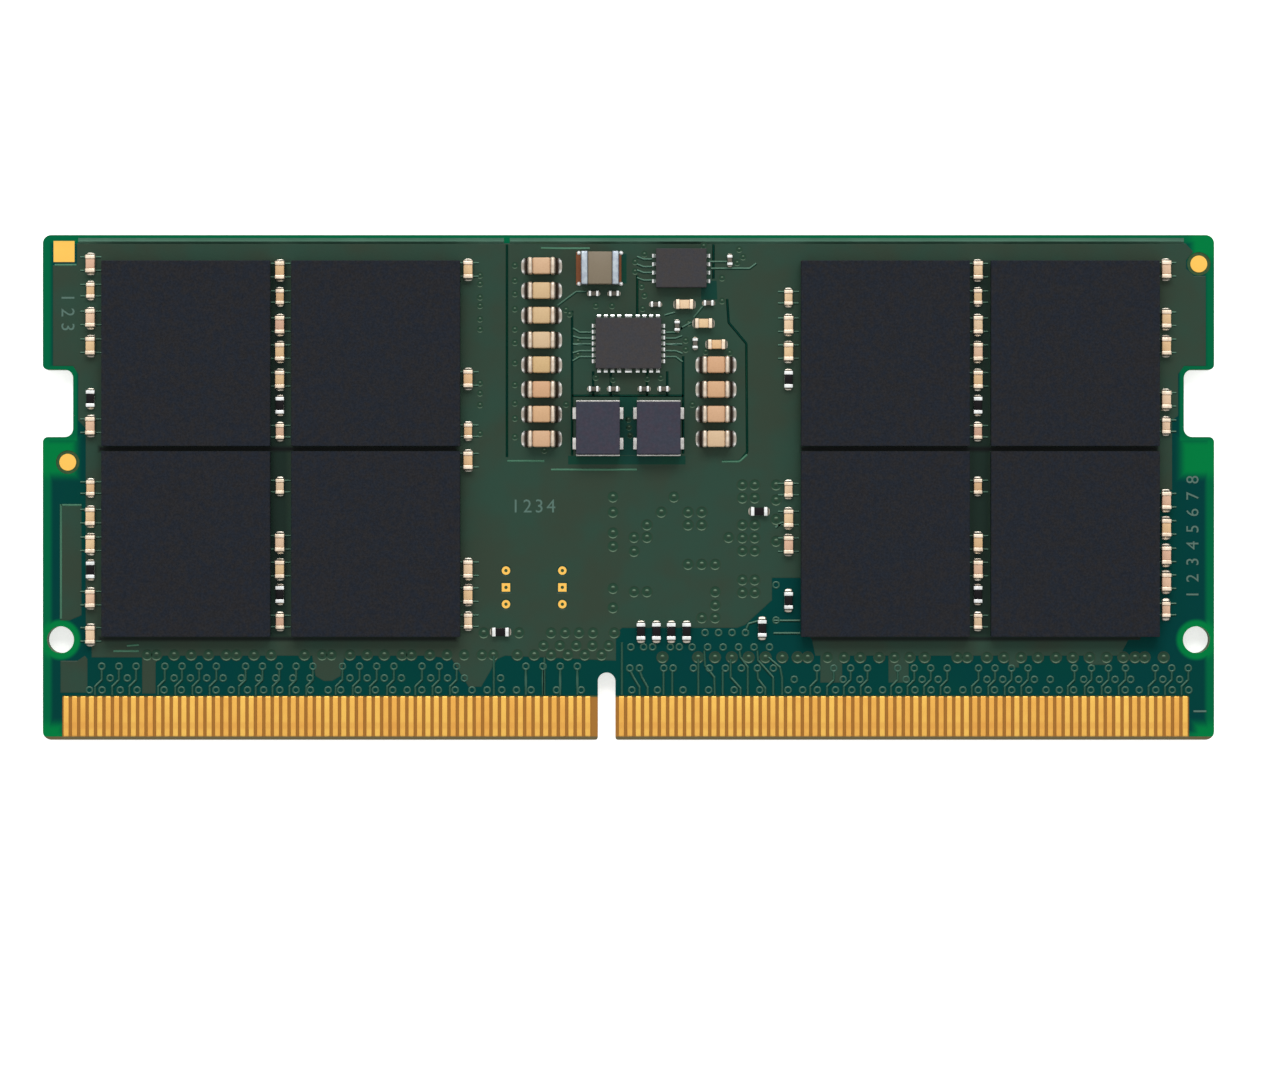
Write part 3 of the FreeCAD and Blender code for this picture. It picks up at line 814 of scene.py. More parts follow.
# %% Geometry Nodes: a stamp
def make_stamp_tree():
    tree = bpy.data.node_groups.new("stamp_on_points", "GeometryNodeTree")
    names = {"points": tree_socket(tree, "Points", "Geometry")}
    names["template"] = tree_socket(tree, "Template", "Object")
    names["size"] = tree_socket(tree, "Size", "Float", 1.0)
    names["finish"] = tree_socket(tree, "Finish", "Material")
    tree_socket(tree, "Stamped", "Geometry", output=True)
    start = tree.nodes.new("NodeGroupInput")
    end = tree.nodes.new("NodeGroupOutput")
    shape = add_node(tree, "GeometryNodeObjectInfo", {}, {"Object": start.outputs["Template"]})
    turn = add_node(tree, "ShaderNodeCombineXYZ", {},
                    {"Z": attribute_node(tree, "turn", "FLOAT")})
    scale = add_node(tree, "ShaderNodeVectorMath", {"operation": "SCALE"},
                     {0: attribute_node(tree, "scale", "FLOAT_VECTOR"),
                      "Scale": start.outputs["Size"]})
    stamped = add_node(tree, "GeometryNodeInstanceOnPoints", {},
                       {"Points": start.outputs["Points"], "Instance": shape.outputs["Geometry"],
                        "Rotation": turn.outputs[0], "Scale": scale.outputs[0]})
    solid = add_node(tree, "GeometryNodeRealizeInstances", {},
                     {"Geometry": stamped.outputs["Instances"]})
    painted = add_node(tree, "GeometryNodeSetMaterial", {},
                       {"Geometry": solid.outputs[0], "Material": start.outputs["Finish"]})
    tree.links.new(painted.outputs[0], end.inputs[0])
    return tree, names


STAMP_TREE, STAMP = make_stamp_tree()


def bake(thing, name, material):
    """Turn an object's live modifiers into a plain mesh, and drop the modifiers."""
    seen_now = thing.evaluated_get(bpy.context.evaluated_depsgraph_get())
    mesh = bpy.data.meshes.new_from_object(seen_now)
    thing.modifiers.clear()
    thing.data = mesh
    mesh.name = name
    mesh.materials.clear()
    mesh.materials.append(material)
    return thing


def stamp(name, places, template, material, smooth=False):
    """Copies of a template at places (point, turn, scale, tone), as one mesh object."""
    points = bpy.data.meshes.new(name)
    points.from_pydata([place[0] for place in places], [], [])
    turns = points.attributes.new("turn", "FLOAT", "POINT")
    turns.data.foreach_set("value", [place[1] for place in places])
    scales = points.attributes.new("scale", "FLOAT_VECTOR", "POINT")
    scales.data.foreach_set("vector", [v for place in places for v in place[2]])
    tones = points.attributes.new("tone", "FLOAT", "POINT")
    tones.data.foreach_set("value", [place[3] for place in places])
    thing = link(name, points)
    modifier = thing.modifiers.new("stamp", "NODES")
    modifier.node_group = STAMP_TREE
    modifier[STAMP["template"]] = template
    modifier[STAMP["finish"]] = material
    bake(thing, name, material)
    if smooth:
        thing.data.polygons.foreach_set("use_smooth", [True] * len(thing.data.polygons))
    return thing


print("stamp tree", len(STAMP_TREE.nodes), "nodes")

# %% [markdown]
# A chip part is a ceramic body between two metal ends. The ends are dipped, so they bulge a
# little past the body and every edge is round. Each could be shaped by itself, but parts of a
# kind are alike: a template is made once for each kind, at the kind's own size, lying along X
# with the outward side to +X. These helpers make a template and find out which way a part lies.

# %% Chip part templates
def template(name, mesh):
    """An object that is only stamped from, kept out of the model."""
    thing = bpy.data.objects.new(name, mesh)
    for polygon in mesh.polygons:
        polygon.use_smooth = True
    return thing


def block_template(name, size, radius, segments):
    half = Vector((size.x / 2, size.y / 2, 0.0))
    high = Vector((half.x, half.y, size.z))
    return template(name, rounded_block(name, -half, high, radius, segments))


def turn_towards(origin, target):
    """The quarter turn that takes +X from the first point towards the second."""
    away = target - origin
    if abs(away.x) > abs(away.y):
        return 0.0 if away.x > 0 else math.pi
    return math.pi / 2 if away.y > 0 else -math.pi / 2


def nearest(centre, solids):
    return min(solids, key=lambda solid: (solid.centre - centre).length_squared)


def along_across(size, turn):
    """A box size seen in the part's own direction: along, across, height."""
    if abs(math.cos(turn)) > 0.5:
        return Vector((size.x, size.y, size.z))
    return Vector((size.y, size.x, size.z))

# %% [markdown]
# The template is then stamped at every place where the frame has such a solid. The turn of an
# end points away from the nearest body. Each place draws a random tone from one fixed seed, so
# that the ceramics differ and the result is the same each run.

# %% Chip parts: how they are stamped
tones = random.Random(11)


def place_at(solid, turn, scale=(1.0, 1.0, 1.0), tone=None):
    foot = (solid.centre.x, solid.centre.y, solid.low.z)
    return (foot, turn, scale, tones.random() if tone is None else tone)


def stamp_ends(kind, ends_node, bodies_node, bulge, radius, metal):
    """Rounded metal ends, each a little larger than the solid it stands for."""
    bodies = solids_of(bodies_node)
    ends = solids_of(ends_node)
    turns = [turn_towards(nearest(end.centre, bodies).centre, end.centre) for end in ends]
    size = along_across(ends[0].size, turns[0])
    shape = block_template(f"{kind}_end_template", size + Vector((0, bulge, bulge)), radius, 3)
    places = [place_at(end, turn) for end, turn in zip(ends, turns)]
    thing = stamp(f"{kind}_end_caps", places, shape, finishes[metal], smooth=True)
    return keep(thing, "tinned_ends", ends_node), bodies, ends


def stamp_bodies(kind, bodies_node, ends, material, slot, radius):
    bodies = solids_of(bodies_node)
    turns = [turn_towards(body.centre, nearest(body.centre, ends).centre) for body in bodies]
    size = along_across(bodies[0].size, turns[0])
    shape = block_template(f"{kind}_body_template", size, radius, 2)
    places = [place_at(body, turn) for body, turn in zip(bodies, turns)]
    thing = stamp(f"{kind}_ceramics", places, shape, finishes[material], smooth=True)
    return keep(thing, slot, bodies_node)

# %% [markdown]
# Six kinds of chip part stand on the board, and they differ only in their size, their ceramic,
# their metal and how round they are. A table holds that, and one loop makes them all.

# %% Chip parts: bodies and ends
CHIP_KINDS = (
    ("capacitor", "capacitor_bodies", "capacitor_ends", "tan", "tan_ceramic", 0.05),
    ("small_capacitor", "small_capacitor_bodies", "small_capacitor_ends", "tan",
     "tan_ceramic", 0.04),
    ("tiny_part", "tiny_part_bodies", "tiny_part_ends", "olive_ceramic", "tan_ceramic", 0.03),
    ("bulk_capacitor", "bulk_capacitor_bodies", "bulk_capacitor_ends", "cream",
     "tan_ceramic", 0.13),
    ("resistor", "resistor_bases", "resistor_ends", "white_ceramic", "white_ceramic", 0.03),
    ("filter_part", "filter_part_body", "filter_part_ends", "brown_ceramic",
     "brown_ceramic", 0.08),
)
END_METALS = {"bulk_capacitor": "worn_tin", "filter_part": "silver", "resistor": "grey_tin",
              "tiny_part": "grey_tin"}
all_ends = []
for kind, bodies_node, ends_node, material, slot, radius in CHIP_KINDS:
    metal = END_METALS.get(kind, "tin")
    made, bodies, ends = stamp_ends(kind, ends_node, bodies_node, 0.03 * MM, radius * MM, metal)
    stamp_bodies(kind, bodies_node, ends, material, slot, radius * 0.6 * MM)
    all_ends += ends

# %% [markdown]
# A resistor carries a black glaze over the film on its top. It could be a darker patch in the
# ceramic's finish, but the real glaze is a layer with an edge, so it is a thin block with
# rounded edges.

# %% Resistor glazes
coats = solids_of("resistor_coats")
resistor_ends = solids_of("resistor_ends")
coat_turns = [turn_towards(coat.centre, nearest(coat.centre, resistor_ends).centre)
              for coat in coats]
coat_shape = block_template("resistor_coat_template",
                            along_across(coats[0].size, coat_turns[0]), 0.02 * MM, 2)
coat_places = [place_at(coat, turn) for coat, turn in zip(coats, coat_turns)]
keep(stamp("resistor_glazes", coat_places, coat_shape, finishes["glaze"], smooth=True),
     "black_glaze", "resistor_coats")
print("glazes", len(coats))

# %% [markdown]
# Molten solder pulls itself up the metal end and out to the edge of its pad. Its surface is
# hollow from the side and round from above. It could be sculpted or poured by a simulation, but
# the shape is known: the fillet is one small grid of points, the height falls away quickly with
# the distance from the end, and the sides draw in to a curve.

# %% The shape of a fillet
def fillet_mesh(name, run, width, height):
    """A fillet from x = -run/2 at the metal end to x = +run/2 at the edge of the pad."""
    work = bmesh.new()
    steps = 5
    across = 6
    rows = []
    for i in range(steps + 1):
        u = i / steps
        row = []
        for j in range(across + 1):
            v = 2 * j / across - 1
            reach = (1 - abs(v) ** 3 * 0.28) * u
            rise = height * (0.9 * (1 - u) ** 4 + 0.1 * (1 - u ** 3)) * (1 - 0.35 * abs(v) ** 4)
            low = 0.0 if i == steps or abs(v) == 1 else 0.02 * height
            row.append(work.verts.new((-run / 2 + reach * run, v * width / 2 * (1 - 0.06 * u),
                                       max(rise, low))))
        rows.append(row)
    for near, far in zip(rows, rows[1:]):
        for j in range(across):
            work.faces.new((near[j], far[j], far[j + 1], near[j + 1]))
    feet = {}
    rim = [rows[0][j] for j in range(across + 1)]
    rim += [rows[i][across] for i in range(1, steps + 1)]
    rim += [rows[steps][j] for j in range(across - 1, -1, -1)]
    rim += [rows[i][0] for i in range(steps - 1, 0, -1)]
    for vert in rim:
        feet[vert] = work.verts.new((vert.co.x, vert.co.y, -0.03 * MM))
    for here, there in zip(rim, rim[1:] + rim[:1]):
        work.faces.new((here, there, feet[there], feet[here]))
    bmesh.ops.recalc_face_normals(work, faces=work.faces)
    mesh = bpy.data.meshes.new(name)
    work.to_mesh(mesh)
    work.free()
    shares = {"reach": [v.co.x / run + 0.5 for v in mesh.vertices],
              "aside": [abs(v.co.y) * 2 / width for v in mesh.vertices]}
    for attribute, values in shares.items():
        mesh.attributes.new(attribute, "FLOAT", "POINT").data.foreach_set("value", values)
    return mesh

# %% [markdown]
# Each fillet starts just under the outer face of its end, so that no gap shows, and reaches a
# little past its solder solid. Fillets of one size share a template, and the joints of one node
# are joined to one piece.

# %% Solder fillets
def joined(name, things):
    """Several objects as one."""
    bpy.ops.object.select_all(action="DESELECT")
    for thing in things:
        thing.select_set(True)
    bpy.context.view_layer.objects.active = things[0]
    if len(things) > 1:
        bpy.ops.object.join()
    things[0].name = name
    things[0].data.name = name
    return things[0]


UNDER_END = 0.05 * MM


def stamp_solder(name, node, ends, finish, stretch):
    """Fillets from the outer face of each end to a little past its solder solid."""
    groups = {}
    for solid in solids_of(node):
        end = nearest(solid.centre, ends)
        turn = turn_towards(end.centre, solid.centre)
        out = Vector((math.cos(turn), math.sin(turn), 0.0))
        size = along_across(solid.size, turn)
        start = end.centre.dot(out) + along_across(end.size, turn).x / 2 - UNDER_END
        size.x = solid.centre.dot(out) + size.x / 2 + stretch - start
        foot = solid.centre + out * (start + size.x / 2 - solid.centre.dot(out))
        place = ((foot.x, foot.y, solid.low.z), turn, (1.0, 1.0, 1.0), tones.random())
        groups.setdefault(tuple(round(v / MM, 2) for v in size), []).append(place)
    made = []
    for number, (size, places) in enumerate(sorted(groups.items())):
        shape = template(f"{name}_template_{number}",
                         fillet_mesh(f"{name}_{number}", size[0] * MM, size[1] * MM,
                                     size[2] * MM))
        made.append(stamp(f"{name}_{number}", places, shape, finishes[finish], smooth=True))
        print(name, "size", size, "count", len(places))
    return keep(joined(name, made), "solder", node)


stamp_solder("solder_fillets", "chip_part_solder", all_ends, "chip_solder", 0.09 * MM)
stamp_solder("bulk_fillets", "bulk_capacitor_solder", all_ends, "hollow_solder", 0.1 * MM)

# %% [markdown]
# The large part at the top left was soldered sparingly: its lands show as strips of tarnished
# copper, with a bead of solder at each corner. The beads could be half spheres cut from a ball;
# turning a quarter circle makes the dome alone, with no hidden half.

# %% Filter part joints
BEAD = 0.13 * MM
LAND_HEIGHT = 0.05 * MM
LAND_PAST_END = 0.14 * MM
BEAD_PAST_END = 0.12 * MM


def ring_mesh(name, profile, count=14):
    """Turn a profile of points (radius, height) round the Z axis."""
    corners = []
    faces = []
    for i in range(count):
        angle = 2 * math.pi * i / count
        corners += [(r * math.cos(angle), r * math.sin(angle), h) for r, h in profile]
    rows = len(profile)
    for i in range(count):
        j = (i + 1) % count
        for k in range(rows - 1):
            faces.append((i * rows + k, j * rows + k, j * rows + k + 1, i * rows + k + 1))
    mesh = bpy.data.meshes.new(name)
    mesh.from_pydata(corners, [], faces)
    return mesh


def dome_mesh(name, radius, rings=4, count=12):
    profile = [(radius * math.cos(a), radius * math.sin(a))
               for a in (math.pi / 2 * k / rings for k in range(rings + 1))]
    return ring_mesh(name, profile, count)


lands = []
bead_places = []
filter_ends = solids_of("filter_part_ends")
for solid in solids_of("filter_part_solder"):
    end = nearest(solid.centre, filter_ends)
    out = 1 if solid.centre.x > end.centre.x else -1
    low, high = solid.low.copy(), solid.high.copy()
    high.z = low.z + LAND_HEIGHT
    if out > 0:
        high.x = end.high.x + LAND_PAST_END
    lands.append(link("land", rounded_block("land", low, high, 0.02 * MM, 2),
                      finishes["bare_land"]))
    for y in (solid.low.y + BEAD / 2, solid.high.y - BEAD / 2):
        x = end.centre.x + out * (end.size.x / 2 + BEAD_PAST_END)
        bead_places.append(((x, y, high.z), 0.0, (1.0, 1.0, 1.0), 0.5))
keep(joined("filter_lands", lands), "solder", "filter_part_solder")
bead = template("bead_template", dome_mesh("bead_template", BEAD))
keep(stamp("filter_beads", bead_places, bead, finishes["bright_solder"], smooth=True), "solder")
print("lands", len(lands), "beads", len(bead_places))

# %% [markdown]
# The two inductors stand on four tabs each. The solder there has run up into a pillow at each
# tab, white in its finish: pale tin with the bright reflection of its shine painted in. A fillet
# would leave the tab bare, so each pillow is a rounded block a little larger than the joint's own
# solid.

# %% Inductor pillows
PILLOW = Vector((0.3 * MM, 0.62 * MM, 0.24 * MM))
joints = solids_of("power_inductor_solder")
pillow = block_template("pillow_template", PILLOW, 0.11 * MM, 3)
keep(stamp("inductor_pillows", [place_at(joint, 0.0) for joint in joints], pillow,
           finishes["bright_solder"], smooth=True), "solder", "power_inductor_solder")
print("pillows", len(joints))

# %% [markdown]
# A copper area under the lacquer stands two hundredths of a millimetre high. It could be cut
# out of a sheet with a Boolean, but that fails on faces so close together. Its plate is a flat
# outline instead: the top is drawn in by a little slope on every side, and openings for the
# bare pads are cut by giving the tessellator a second loop inside the first.

# %% Helpers: flat plates
PLATE = 0.02 * MM
SLOPE = 0.05 * MM


def drawn_in(loop, distance):
    """A loop of corners moved towards its own left-hand side."""
    moved = []
    for i, here in enumerate(loop):
        before = (here - loop[i - 1]).normalized()
        after = (loop[(i + 1) % len(loop)] - here).normalized()
        normal = Vector((-before.y - after.y, before.x + after.x, 0.0)).normalized()
        straight = max(0.35, normal.dot(Vector((-before.y, before.x, 0.0))))
        moved.append(here + normal * (distance / straight))
    return moved


def loop_area(loop):
    return sum(a.x * b.y - b.x * a.y for a, b in zip(loop, loop[1:] + loop[:1])) / 2


def facing(loop, outward):
    """The loop run so that its material lies on the left: outer loops one way, holes the other."""
    return loop if (loop_area(loop) > 0) == outward else loop[::-1]


def plates(name, outlines, material, openings=(), bottom=MASK_TOP, height=PLATE, slope=SLOPE):
    """Plates along outlines of points (x, y) in millimetres. Openings cut the first of them."""
    corners = []
    faces = []
    for number, outline in enumerate(outlines):
        loops = [facing([Vector((x * MM, y * MM, 0.0)) for x, y in outline], True)]
        if number == 0:
            loops += [facing([Vector((x * MM, y * MM, 0.0)) for x, y in hole], False)
                      for hole in openings]
        tops = []
        for loop in loops:
            top = drawn_in(loop, slope)
            tops.append(top)
            first = len(corners)
            count = len(loop)
            corners += [(v.x, v.y, bottom) for v in loop]
            corners += [(v.x, v.y, bottom + height) for v in top]
            for i in range(count):
                j = (i + 1) % count
                faces.append((first + i, first + j, first + count + j, first + count + i))
        lid = len(corners)
        corners += [(v.x, v.y, bottom + height) for top in tops for v in top]
        faces += [tuple(lid + i for i in face) for face in tessellate_polygon(tops)]
    mesh = bpy.data.meshes.new(name)
    mesh.from_pydata(corners, [], faces)
    work = bmesh.new()
    work.from_mesh(mesh)
    bmesh.ops.remove_doubles(work, verts=work.verts, dist=1e-7)
    bmesh.ops.recalc_face_normals(work, faces=work.faces)
    if sum(face.normal.z for face in work.faces) < 0:
        bmesh.ops.reverse_faces(work, faces=work.faces)
    work.to_mesh(mesh)
    work.free()
    return link(name, mesh, material)

# %% [markdown]
# The main copper area fills the board between the side channels. Below the packages its edge
# steps up and down round the plated holes. A mask drawn in the finish would have no edge to
# catch the light, so the area is a plate. Its points are in millimetres from the middle of the
# board.

# %% Copper areas
TEST_PAD_X = (-7.28, -3.93)
TEST_PAD_Y = -5.94
PAD_HALF = 0.3
MAIN_AREA = [
    (-32.78, 14.5), (33.1, 14.5), (33.55, 14.0), (33.14, 13.5), (33.14, 13.0), (33.6, 12.56),
    (34.3, 12.56), (34.3, 7.22), (33.01, 7.22), (32.66, 6.74),
    (32.66, 4.25), (32.3, 4.0), (32.3, -0.15), (31.35, -0.15), (31.0, -6.7), (30.4, -9.06),
    (29.7, -9.06), (29.2, -10.0), (11.1, -10.0), (10.91, -9.06), (10.55, -8.6),
    (10.55, -5.38), (8.53, -5.38), (8.53, -6.7), (6.93, -8.17), (6.45, -8.35),
    (-0.38, -8.35), (-0.74, -8.7), (-0.74, -10.3), (-7.33, -10.0), (-7.8, -10.2),
    (-8.75, -11.85), (-9.5, -11.85), (-10.5, -10.2), (-11.8, -10.0), (-16.85, -10.0),
    (-17.1, -11.2), (-17.6, -11.5), (-18.1, -11.5), (-18.6, -11.2), (-18.8, -10.0),
    (-27.65, -10.0), (-28.1, -10.4), (-28.1, -12.25), (-28.9, -12.25), (-28.9, -10.1),
    (-31.9, -10.1), (-31.9, -8.2), (-32.25, -8.1), (-32.25, 3.5), (-32.7, 4.0),
    (-32.7, 6.74), (-33.0, 7.22), (-34.2, 7.22), (-34.2, 13.2), (-32.78, 13.2)]
SIDE_AREA = [(-33.75, -1.0), (-32.5, -1.0), (-32.5, -7.6), (-33.2, -7.9), (-33.75, -7.9)]
LOW_AREA = [(-33.75, -10.3), (-32.75, -10.3), (-32.3, -10.0), (-32.15, -10.2),
            (-32.15, -12.2), (-33.75, -12.2)]
TABS = [[(x - half, -9.9), (x + half, -9.9), (x + half, low), (x - half, low)]
        for x, half, low in ((12.05, 0.65, -11.6), (16.05, 0.6, -11.6),
                             (27.9, 0.5, -10.55), (22.9, 0.3, -10.7))]


def circle(x, y, radius, count=16):
    angles = [2 * math.pi * i / count for i in range(count)]
    return [(x + radius * math.cos(a), y + radius * math.sin(a)) for a in angles]


pad_openings = []
for x in TEST_PAD_X:
    pad_openings += [circle(x, TEST_PAD_Y + 1.0, PAD_HALF),
                     circle(x, TEST_PAD_Y - 1.0, PAD_HALF)]
    pad_openings.append([(x + i * PAD_HALF, TEST_PAD_Y + j * PAD_HALF)
                         for i, j in ((-1, -1), (1, -1), (1, 1), (-1, 1))])
areas = plates("copper_areas", [MAIN_AREA, SIDE_AREA, LOW_AREA] + TABS, finishes["pour"],
               pad_openings)
keep(areas, "green_mask")

# %% [markdown]
# Rims, channels and tracks are ribbons laid along lines. Curves with a bevel would do, but
# their ends are hard to close. A second tree turns the edges of a mesh into curves, rounds
# their corners and sweeps a low cross-section along them, with a cap at each end.

# %% Geometry Nodes: a ribbon
def make_ribbon_tree():
    tree = bpy.data.node_groups.new("ribbon_along_lines", "GeometryNodeTree")
    names = {"lines": tree_socket(tree, "Lines", "Geometry")}
    names["width"] = tree_socket(tree, "Width", "Float", 0.1 * MM)
    names["height"] = tree_socket(tree, "Height", "Float", 0.02 * MM)
    names["corner"] = tree_socket(tree, "Corner", "Float", 0.1 * MM)
    names["finish"] = tree_socket(tree, "Finish", "Material")
    tree_socket(tree, "Ribbons", "Geometry", output=True)
    start = tree.nodes.new("NodeGroupInput")
    end = tree.nodes.new("NodeGroupOutput")
    curves = add_node(tree, "GeometryNodeMeshToCurve", {}, {"Mesh": start.outputs["Lines"]})
    eased = add_node(tree, "GeometryNodeFilletCurve", {"mode": "POLY"},
                     {"Curve": curves.outputs[0], "Radius": start.outputs["Corner"],
                      "Limit Radius": True, "Count": 3})
    upright = add_node(tree, "GeometryNodeSetCurveNormal", {"mode": "Z_UP"},
                       {"Curve": eased.outputs[0]})
    section = add_node(tree, "GeometryNodeCurvePrimitiveQuadrilateral",
                       {"mode": "TRAPEZOID"})
    tree.links.new(start.outputs["Width"], section.inputs["Bottom Width"])
    narrow = add_node(tree, "ShaderNodeMath", {"operation": "MULTIPLY"},
                      {0: start.outputs["Width"], 1: 0.6})
    tree.links.new(narrow.outputs[0], section.inputs["Top Width"])
    tree.links.new(start.outputs["Height"], section.inputs["Height"])
    section.inputs["Offset"].default_value = 0.0
    swept = add_node(tree, "GeometryNodeCurveToMesh", {},
                     {"Curve": upright.outputs[0], "Profile Curve": section.outputs[0],
                      "Fill Caps": True})
    painted = add_node(tree, "GeometryNodeSetMaterial", {},
                       {"Geometry": swept.outputs[0], "Material": start.outputs["Finish"]})
    tree.links.new(painted.outputs[0], end.inputs[0])
    return tree, names


RIBBON_TREE, RIBBON = make_ribbon_tree()


def ribbons(name, lines, height_at, width, height, material, corner=0.1 * MM):
    """Low ribbons along lines of points (x, y) in millimetres, all on one height."""
    points = []
    edges = []
    for line in lines:
        first = len(points)
        points += [(x * MM, y * MM, height_at) for x, y in line]
        edges += [(first + i, first + i + 1) for i in range(len(line) - 1)]
    mesh = bpy.data.meshes.new(name)
    mesh.from_pydata(points, edges, [])
    thing = link(name, mesh)
    modifier = thing.modifiers.new("ribbon", "NODES")
    modifier.node_group = RIBBON_TREE
    modifier[RIBBON["width"]] = width
    modifier[RIBBON["height"]] = height
    modifier[RIBBON["corner"]] = corner
    modifier[RIBBON["finish"]] = material
    return bake(thing, name, material)


print("ribbon tree", len(RIBBON_TREE.nodes), "nodes")

# %% [markdown]
# Inside the main area the power section is fenced off by narrow channels, where the copper has
# been etched away and the dark laminate shows. They could be cut out of the plate, but its
# outline would grow very long. They are drawn as thin dark ribbons and plates on the copper, so
# low that the eye takes them for channels.

# %% Channels in the copper
CHANNEL_TOP = MASK_TOP + PLATE - 0.002 * MM
FENCE = [
    [(-7.22, 14.45), (-7.22, 1.8)],
    [(5.86, 11.2), (5.95, 9.8), (7.0, 8.55), (7.05, 2.1), (6.6, 1.55), (5.55, 1.55)],
    [(-3.35, 10.5), (-3.35, 1.9)],
    [(0.52, 12.6), (0.52, 10.2)],
    [(3.25, 7.8), (3.25, 2.0)],
    [(-3.35, 5.45), (3.25, 5.45)],
    [(-1.05, 5.45), (-1.05, 7.0)], [(1.1, 5.45), (1.1, 7.0)],
    [(-2.1, 5.45), (-2.1, 6.9)], [(2.3, 5.45), (2.3, 6.9)],
    [(5.05, 14.45), (5.05, 12.4)],
]
fences = ribbons("channels", FENCE, CHANNEL_TOP, 0.15 * MM, 0.008 * MM, finishes["channel"],
                 0.2 * MM)
BARE = [
    [(4.3, 12.3), (5.25, 12.3), (5.3, 11.15), (4.3, 11.15)],
    [(-1.35, 13.9), (-0.1, 13.9), (-0.1, 12.1), (-1.35, 12.1)],
    [(-3.6, 1.9), (3.4, 1.9), (3.4, 1.35), (-3.6, 1.35)],
    [(-0.55, 5.4), (0.55, 5.4), (0.55, 1.9), (-0.55, 1.9)],
]
bare = plates("bare_patches", BARE, finishes["channel"], bottom=CHANNEL_TOP,
              height=0.006 * MM)
keep(joined("etched_channels", [fences, bare]), "green_mask")
print("channels", len(FENCE), "patches", len(BARE))

# %% [markdown]
# Where the lacquer runs down over an edge of the copper it catches the light, so the long edges
# show as thin bright lines: along the far edge, round the power section and under it. The slope
# of the plates is too small to show that at this distance, so the lines are ribbons of their
# own.

# %% Bright edges
HIGHLIGHT_RIMS = [
    [(-34.1, 13.22), (-32.8, 13.22)],
    [(-7.2, 1.57), (-5.0, 1.57)],
    [(-4.6, 1.06), (0.5, 1.06)],
    [(5.55, 1.53), (6.6, 1.53), (7.05, 1.95)],
    [(-5.2, 14.22), (-4.4, 14.2), (-2.3, 14.2)],
    [(-33.7, -1.05), (-32.5, -1.05)], [(-33.72, -1.0), (-33.72, -7.8)],
    [(-30.6, -9.72), (-29.1, -9.72)], [(-29.8, -9.4), (-29.1, -9.34)],
]
FAR_HIGHLIGHT_RIM = [[(-32.7, 14.63), (-7.4, 14.63)], [(-7.05, 14.63), (33.0, 14.63)]]
# These ribbons carry a painted highlight in their lighter colour.
rims = ribbons("bright_edges", HIGHLIGHT_RIMS, MASK_TOP + 0.008 * MM, 0.13 * MM, 0.03 * MM,
               finishes["rim"], 0.3 * MM)
far_rim = ribbons("far_rim", FAR_HIGHLIGHT_RIM, MASK_TOP + 0.012 * MM, 0.38 * MM, 0.008 * MM,
                  finishes["far_rim"], 0.3 * MM)
keep(rims, "green_mask")
keep(far_rim, "green_mask")

# %% [markdown]
# Plated holes join the layers of the board. They stand in staggered rows below the packages and
# in short columns in the middle. Each could be typed in by itself, but the rows have runs of
# equal pitch, so a row is written as its height and runs of (first, count, pitch), and a column
# as its place and heights. In the copper area a hole is a dimple, beside it a ring.

# %% Where the plated holes stand
LANE = 1.02
VIA_ROWS = (
    (-9.95, ((-28.6, 2, 0.55), (-27.0, 3, LANE), (-23.9, 2, 0.6), (-22.25, 2, LANE),
             (-19.25, 1, 1), (-18.2, 2, 0.56), (-16.55, 3, LANE), (-13.45, 2, 0.55),
             (-11.8, 3, LANE), (-8.7, 2, 0.67), (-6.6, 6, 1.0))),
    (-10.64, ((-31.3, 3, LANE), (-27.55, 4, LANE), (-22.75, 5, 1.0), (-17.0, 4, LANE),
              (-12.27, 3, 1.03), (-6.1, 4, 1.02))),
    (-11.34, ((-30.8, 2, LANE), (-27.0, 4, 0.97), (-23.0, 5, LANE), (-16.55, 4, LANE),
              (-11.75, 3, 1.0), (-7.6, 1, 1))),
    (-12.05, ((-32.03, 2, 0.75), (-30.2, 2, 1.0), (-27.6, 4, 1.03), (-23.6, 5, 0.96),
              (-18.9, 2, 1.05), (-17.1, 4, 1.03), (-13.15, 2, 0.87), (-11.3, 3, 1.0),
              (-8.4, 4, 0.87), (-4.28, 2, 1.47), (0.2, 6, 1.52), (9.48, 3, 0.87),
              (12.3, 3, 0.97), (15.1, 5, 0.96), (19.87, 2, 0.91), (21.75, 4, 1.02),
              (25.6, 1, 1), (26.45, 4, 1.02), (30.35, 4, 0.98))),
    (-11.42, ((9.85, 1, 1), (12.75, 2, 1.0), (16.5, 3, 0.95), (21.3, 5, 0.94),
              (27.05, 4, 0.93), (31.75, 2, 1.0))),
    (-10.75, ((0.08, 2, 0.57), (2.1, 2, 0.55), (3.86, 6, 0.95), (11.2, 4, 1.0),
              (16.0, 4, 0.98), (20.8, 4, 0.98), (26.5, 4, 1.01), (31.3, 3, 0.98))),
    (-10.1, ((2.02, 1, 1), (4.14, 6, 1.0), (10.05, 2, 0.6), (11.83, 3, 0.97),
             (14.9, 4, 0.9), (19.55, 2, 0.58), (21.3, 4, 1.01), (25.4, 5, 1.0),
             (30.1, 2, 0.57), (31.8, 1, 1))),
    (-9.5, ((0.14, 1, 1), (3.78, 6, 0.92))),
    (-9.4, ((-5.05, 5, 0.97),)),
    (-8.64, ((4.55, 4, 0.8), (-8.6, 1, 1), (-6.5, 1, 1), (-4.6, 4, 0.83), (-0.85, 1, 1))),
    (-9.49, ((0.9, 2, 0.53), (2.49, 2, 0.53))), (-7.9, ((8.77, 1, 1),)), (-5.8, ((8.77, 1, 1),)),
)
